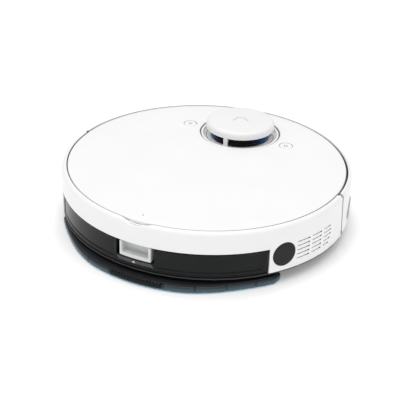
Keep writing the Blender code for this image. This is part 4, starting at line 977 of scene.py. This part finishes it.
# %% Side brush
HUB_X, HUB_Y = -112 * MM, -92 * MM
HAIRS = 46
hub_at = Vector((HUB_X, MIDDLE.y + HUB_Y, 0))
hub = turned("side_brush_hub", [
    (0, 13.6 * MM), (2.5 * MM, 13.6 * MM), (2.5 * MM, 9.4 * MM), (7.2 * MM, 9.3 * MM), (8 * MM, 8.6 * MM),
    (8 * MM, 5.8 * MM), (7 * MM, 5.1 * MM), (0, 5 * MM)], hub_at, 64)
show(hub, grey_abs, "side_brush", "grey_plastic", "side_brush")
bm = bmesh.new()
outward = math.atan2(HUB_Y, HUB_X)
for number in range(3):
    for _ in range(HAIRS):
        spread = random.uniform(-0.16, 0.16)
        turn = outward + math.radians(60 + 120 * number)
        start = hub_at + Vector((math.cos(turn), math.sin(turn), 0)) * 6 * MM + Vector((0, 0, 6.9 * MM))
        reach = random.uniform(50, 57) * MM
        end = hub_at + Vector((math.cos(turn + spread), math.sin(turn + spread), 0)) * reach
        end.z = random.uniform(1.2, 2.4) * MM
        side = Vector((-math.sin(turn), math.cos(turn), 0))
        start += side * spread * 9 * MM
        spike(bm, (start + side * 0.16 * MM, start - side * 0.16 * MM, start + Vector((0, 0, 0.3 * MM))), end)
show(new_object("side_brush_bristles", bm), dark_abs, "side_brush", "grey_plastic", edge=0)
print("side brush bristles", 3 * HAIRS)

# %% [markdown]
# ## Pieces that keep their engineering shape
# The floor, frame, wheels, motors and the rest already have the right shape. Each gets the material of the
# real one, and a small bevel so that its edges catch the light.

# %% Finish the inner pieces
FINISHES = {
    dark_abs: ("chassis", "brush_housing", "brush_guard", "caster_socket", "caster_yoke", "fan_housing",
               "battery_door", "speaker"),
    grey_abs: ("main_frame", "wheel_arm_L", "wheel_arm_R", "wheel_hub_L", "wheel_hub_R"),
    smoked: ("dust_box", "bin_lid"),
    rubber: ("wheel_tyre_L", "wheel_tyre_R", "caster_wheel", "lidar_belt", "water_plug"),
    steel: ("lidar_bearing", "lidar_motor", "brush_motor", "arm_pin_L", "arm_pin_R", "arm_spring_L",
            "arm_spring_R", "side_brush_motor", "fan_motor", "door_screw_L", "door_screw_R", "caster_axle"),
    brass: ("brush_bearing_L", "brush_bearing_R", "charge_contact_L", "charge_contact_R"),
    white_abs_painted_light: ("lidar_base",),
    white_abs: ("lidar_pulley", "fan_impeller"),
    window_painted_sheen: ("lidar_lens",),
    board: ("main_board",),
    wrap: ("battery",),
    paper: ("filter",),
}
finished = 0
for material, names in FINISHES.items():
    for name in names:
        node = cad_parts[name]
        node.data.materials.clear()
        node.data.materials.append(material)
        smooth(node, EDGE if name not in ("arm_spring_L", "arm_spring_R", "lidar_belt") else 0)
        finished += 1
print("finished", finished, "inner pieces")

# %% Drop sensors under the floor
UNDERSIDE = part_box("chassis")[0].z
for number, angle in enumerate((118, 150, 210, 242)):
    spot = polar(146 * MM, angle, UNDERSIDE)
    glass = turned(f"drop_sensor_{number}", [(0, -0.5 * MM), (3.6 * MM, -0.45 * MM), (4.6 * MM, -0.25 * MM),
                                             (5 * MM, 0.05 * MM), (0, 0.05 * MM)], spot, 48)
    show(glass, window_acrylic, "base", "sensor_window", edge=0)
print("underside at", round(UNDERSIDE / MM, 1), "mm")

# %% [markdown]
# ## Studio
# The object stands on a pale seamless floor under one large soft light, in a room of even white light. The
# floor glows a little, as a backlit acrylic table does, so that the shadow under the machine stays pale.

# %% Floor and lights
OVERHEAD_POWER = 24
WORLD_STRENGTH = 0.55
FLOOR_GLOW = 0.16
floor = bar("floor", (30, 30, 0.02), Matrix.Translation((0, 0, -0.0101)))
paper_white, tree, shader = finish("white_paper_floor", Roughness=0.9, Specular_IOR_Level=0.1,
                                   Emission_Strength=FLOOR_GLOW)
grain = add(tree, "TexNoise", {"Vector": add(tree, "TexCoord").outputs["Object"], "Scale": 300.0})
shade = add(tree, "Mix", {"Factor": grain.outputs[0], 6: linear("FCFCFC"), 7: linear("FFFFFF")},
            data_type="RGBA")
tree.links.new(shade.outputs[2], shader.inputs["Base Color"])
shader.inputs["Emission Color"].default_value = linear("FFFFFF")
floor.data.materials.append(paper_white)


def soft_light(name, place, aim, size, power):
    data = bpy.data.lights.new(name, "AREA")
    data.size = size
    data.energy = power
    lamp_object = bpy.data.objects.new(name, data)
    lamp_object.location = place
    lamp_object.rotation_euler = (Vector(aim) - Vector(place)).to_track_quat("-Z", "Y").to_euler()
    bpy.context.scene.collection.objects.link(lamp_object)


soft_light("overhead", (0, 0.2, 1.7), (0, 0, 0), 2.2, OVERHEAD_POWER)
world = bpy.data.worlds.new("studio")
bpy.context.scene.world = world
world.use_nodes = True
world.node_tree.nodes["Background"].inputs["Color"].default_value = linear("FFFFFF")
world.node_tree.nodes["Background"].inputs["Strength"].default_value = WORLD_STRENGTH
bpy.context.scene.view_settings.view_transform = "Standard"
print("overhead light", OVERHEAD_POWER, "W, world strength", WORLD_STRENGTH)

# %% [markdown]
# The camera looks down from behind, a little to the port's side, with a long lens that keeps the circle true.
# It is rolled slightly, so the machine seems to lean by a degree or two.

# %% Camera
CAMERA_AT = Vector((-473.1, 979.9, 611.6)) * MM
CAMERA_AIM = Vector((6.29, 3.09, 19.26)) * MM
CAMERA_ROLL = math.radians(1.82)
data = bpy.data.cameras.new("camera")
data.lens = 90
data.sensor_width = 36
camera = bpy.data.objects.new("camera", data)
camera.location = MIDDLE + CAMERA_AT
aim = MIDDLE + CAMERA_AIM
facing = (aim - camera.location).to_track_quat("-Z", "Y")
camera.rotation_mode = "QUATERNION"
camera.rotation_quaternion = facing @ Matrix.Rotation(CAMERA_ROLL, 4, "Z").to_quaternion()
bpy.context.scene.collection.objects.link(camera)
bpy.context.scene.camera = camera
print("camera", round((CAMERA_AT - CAMERA_AIM).length, 3), "m from its aim")
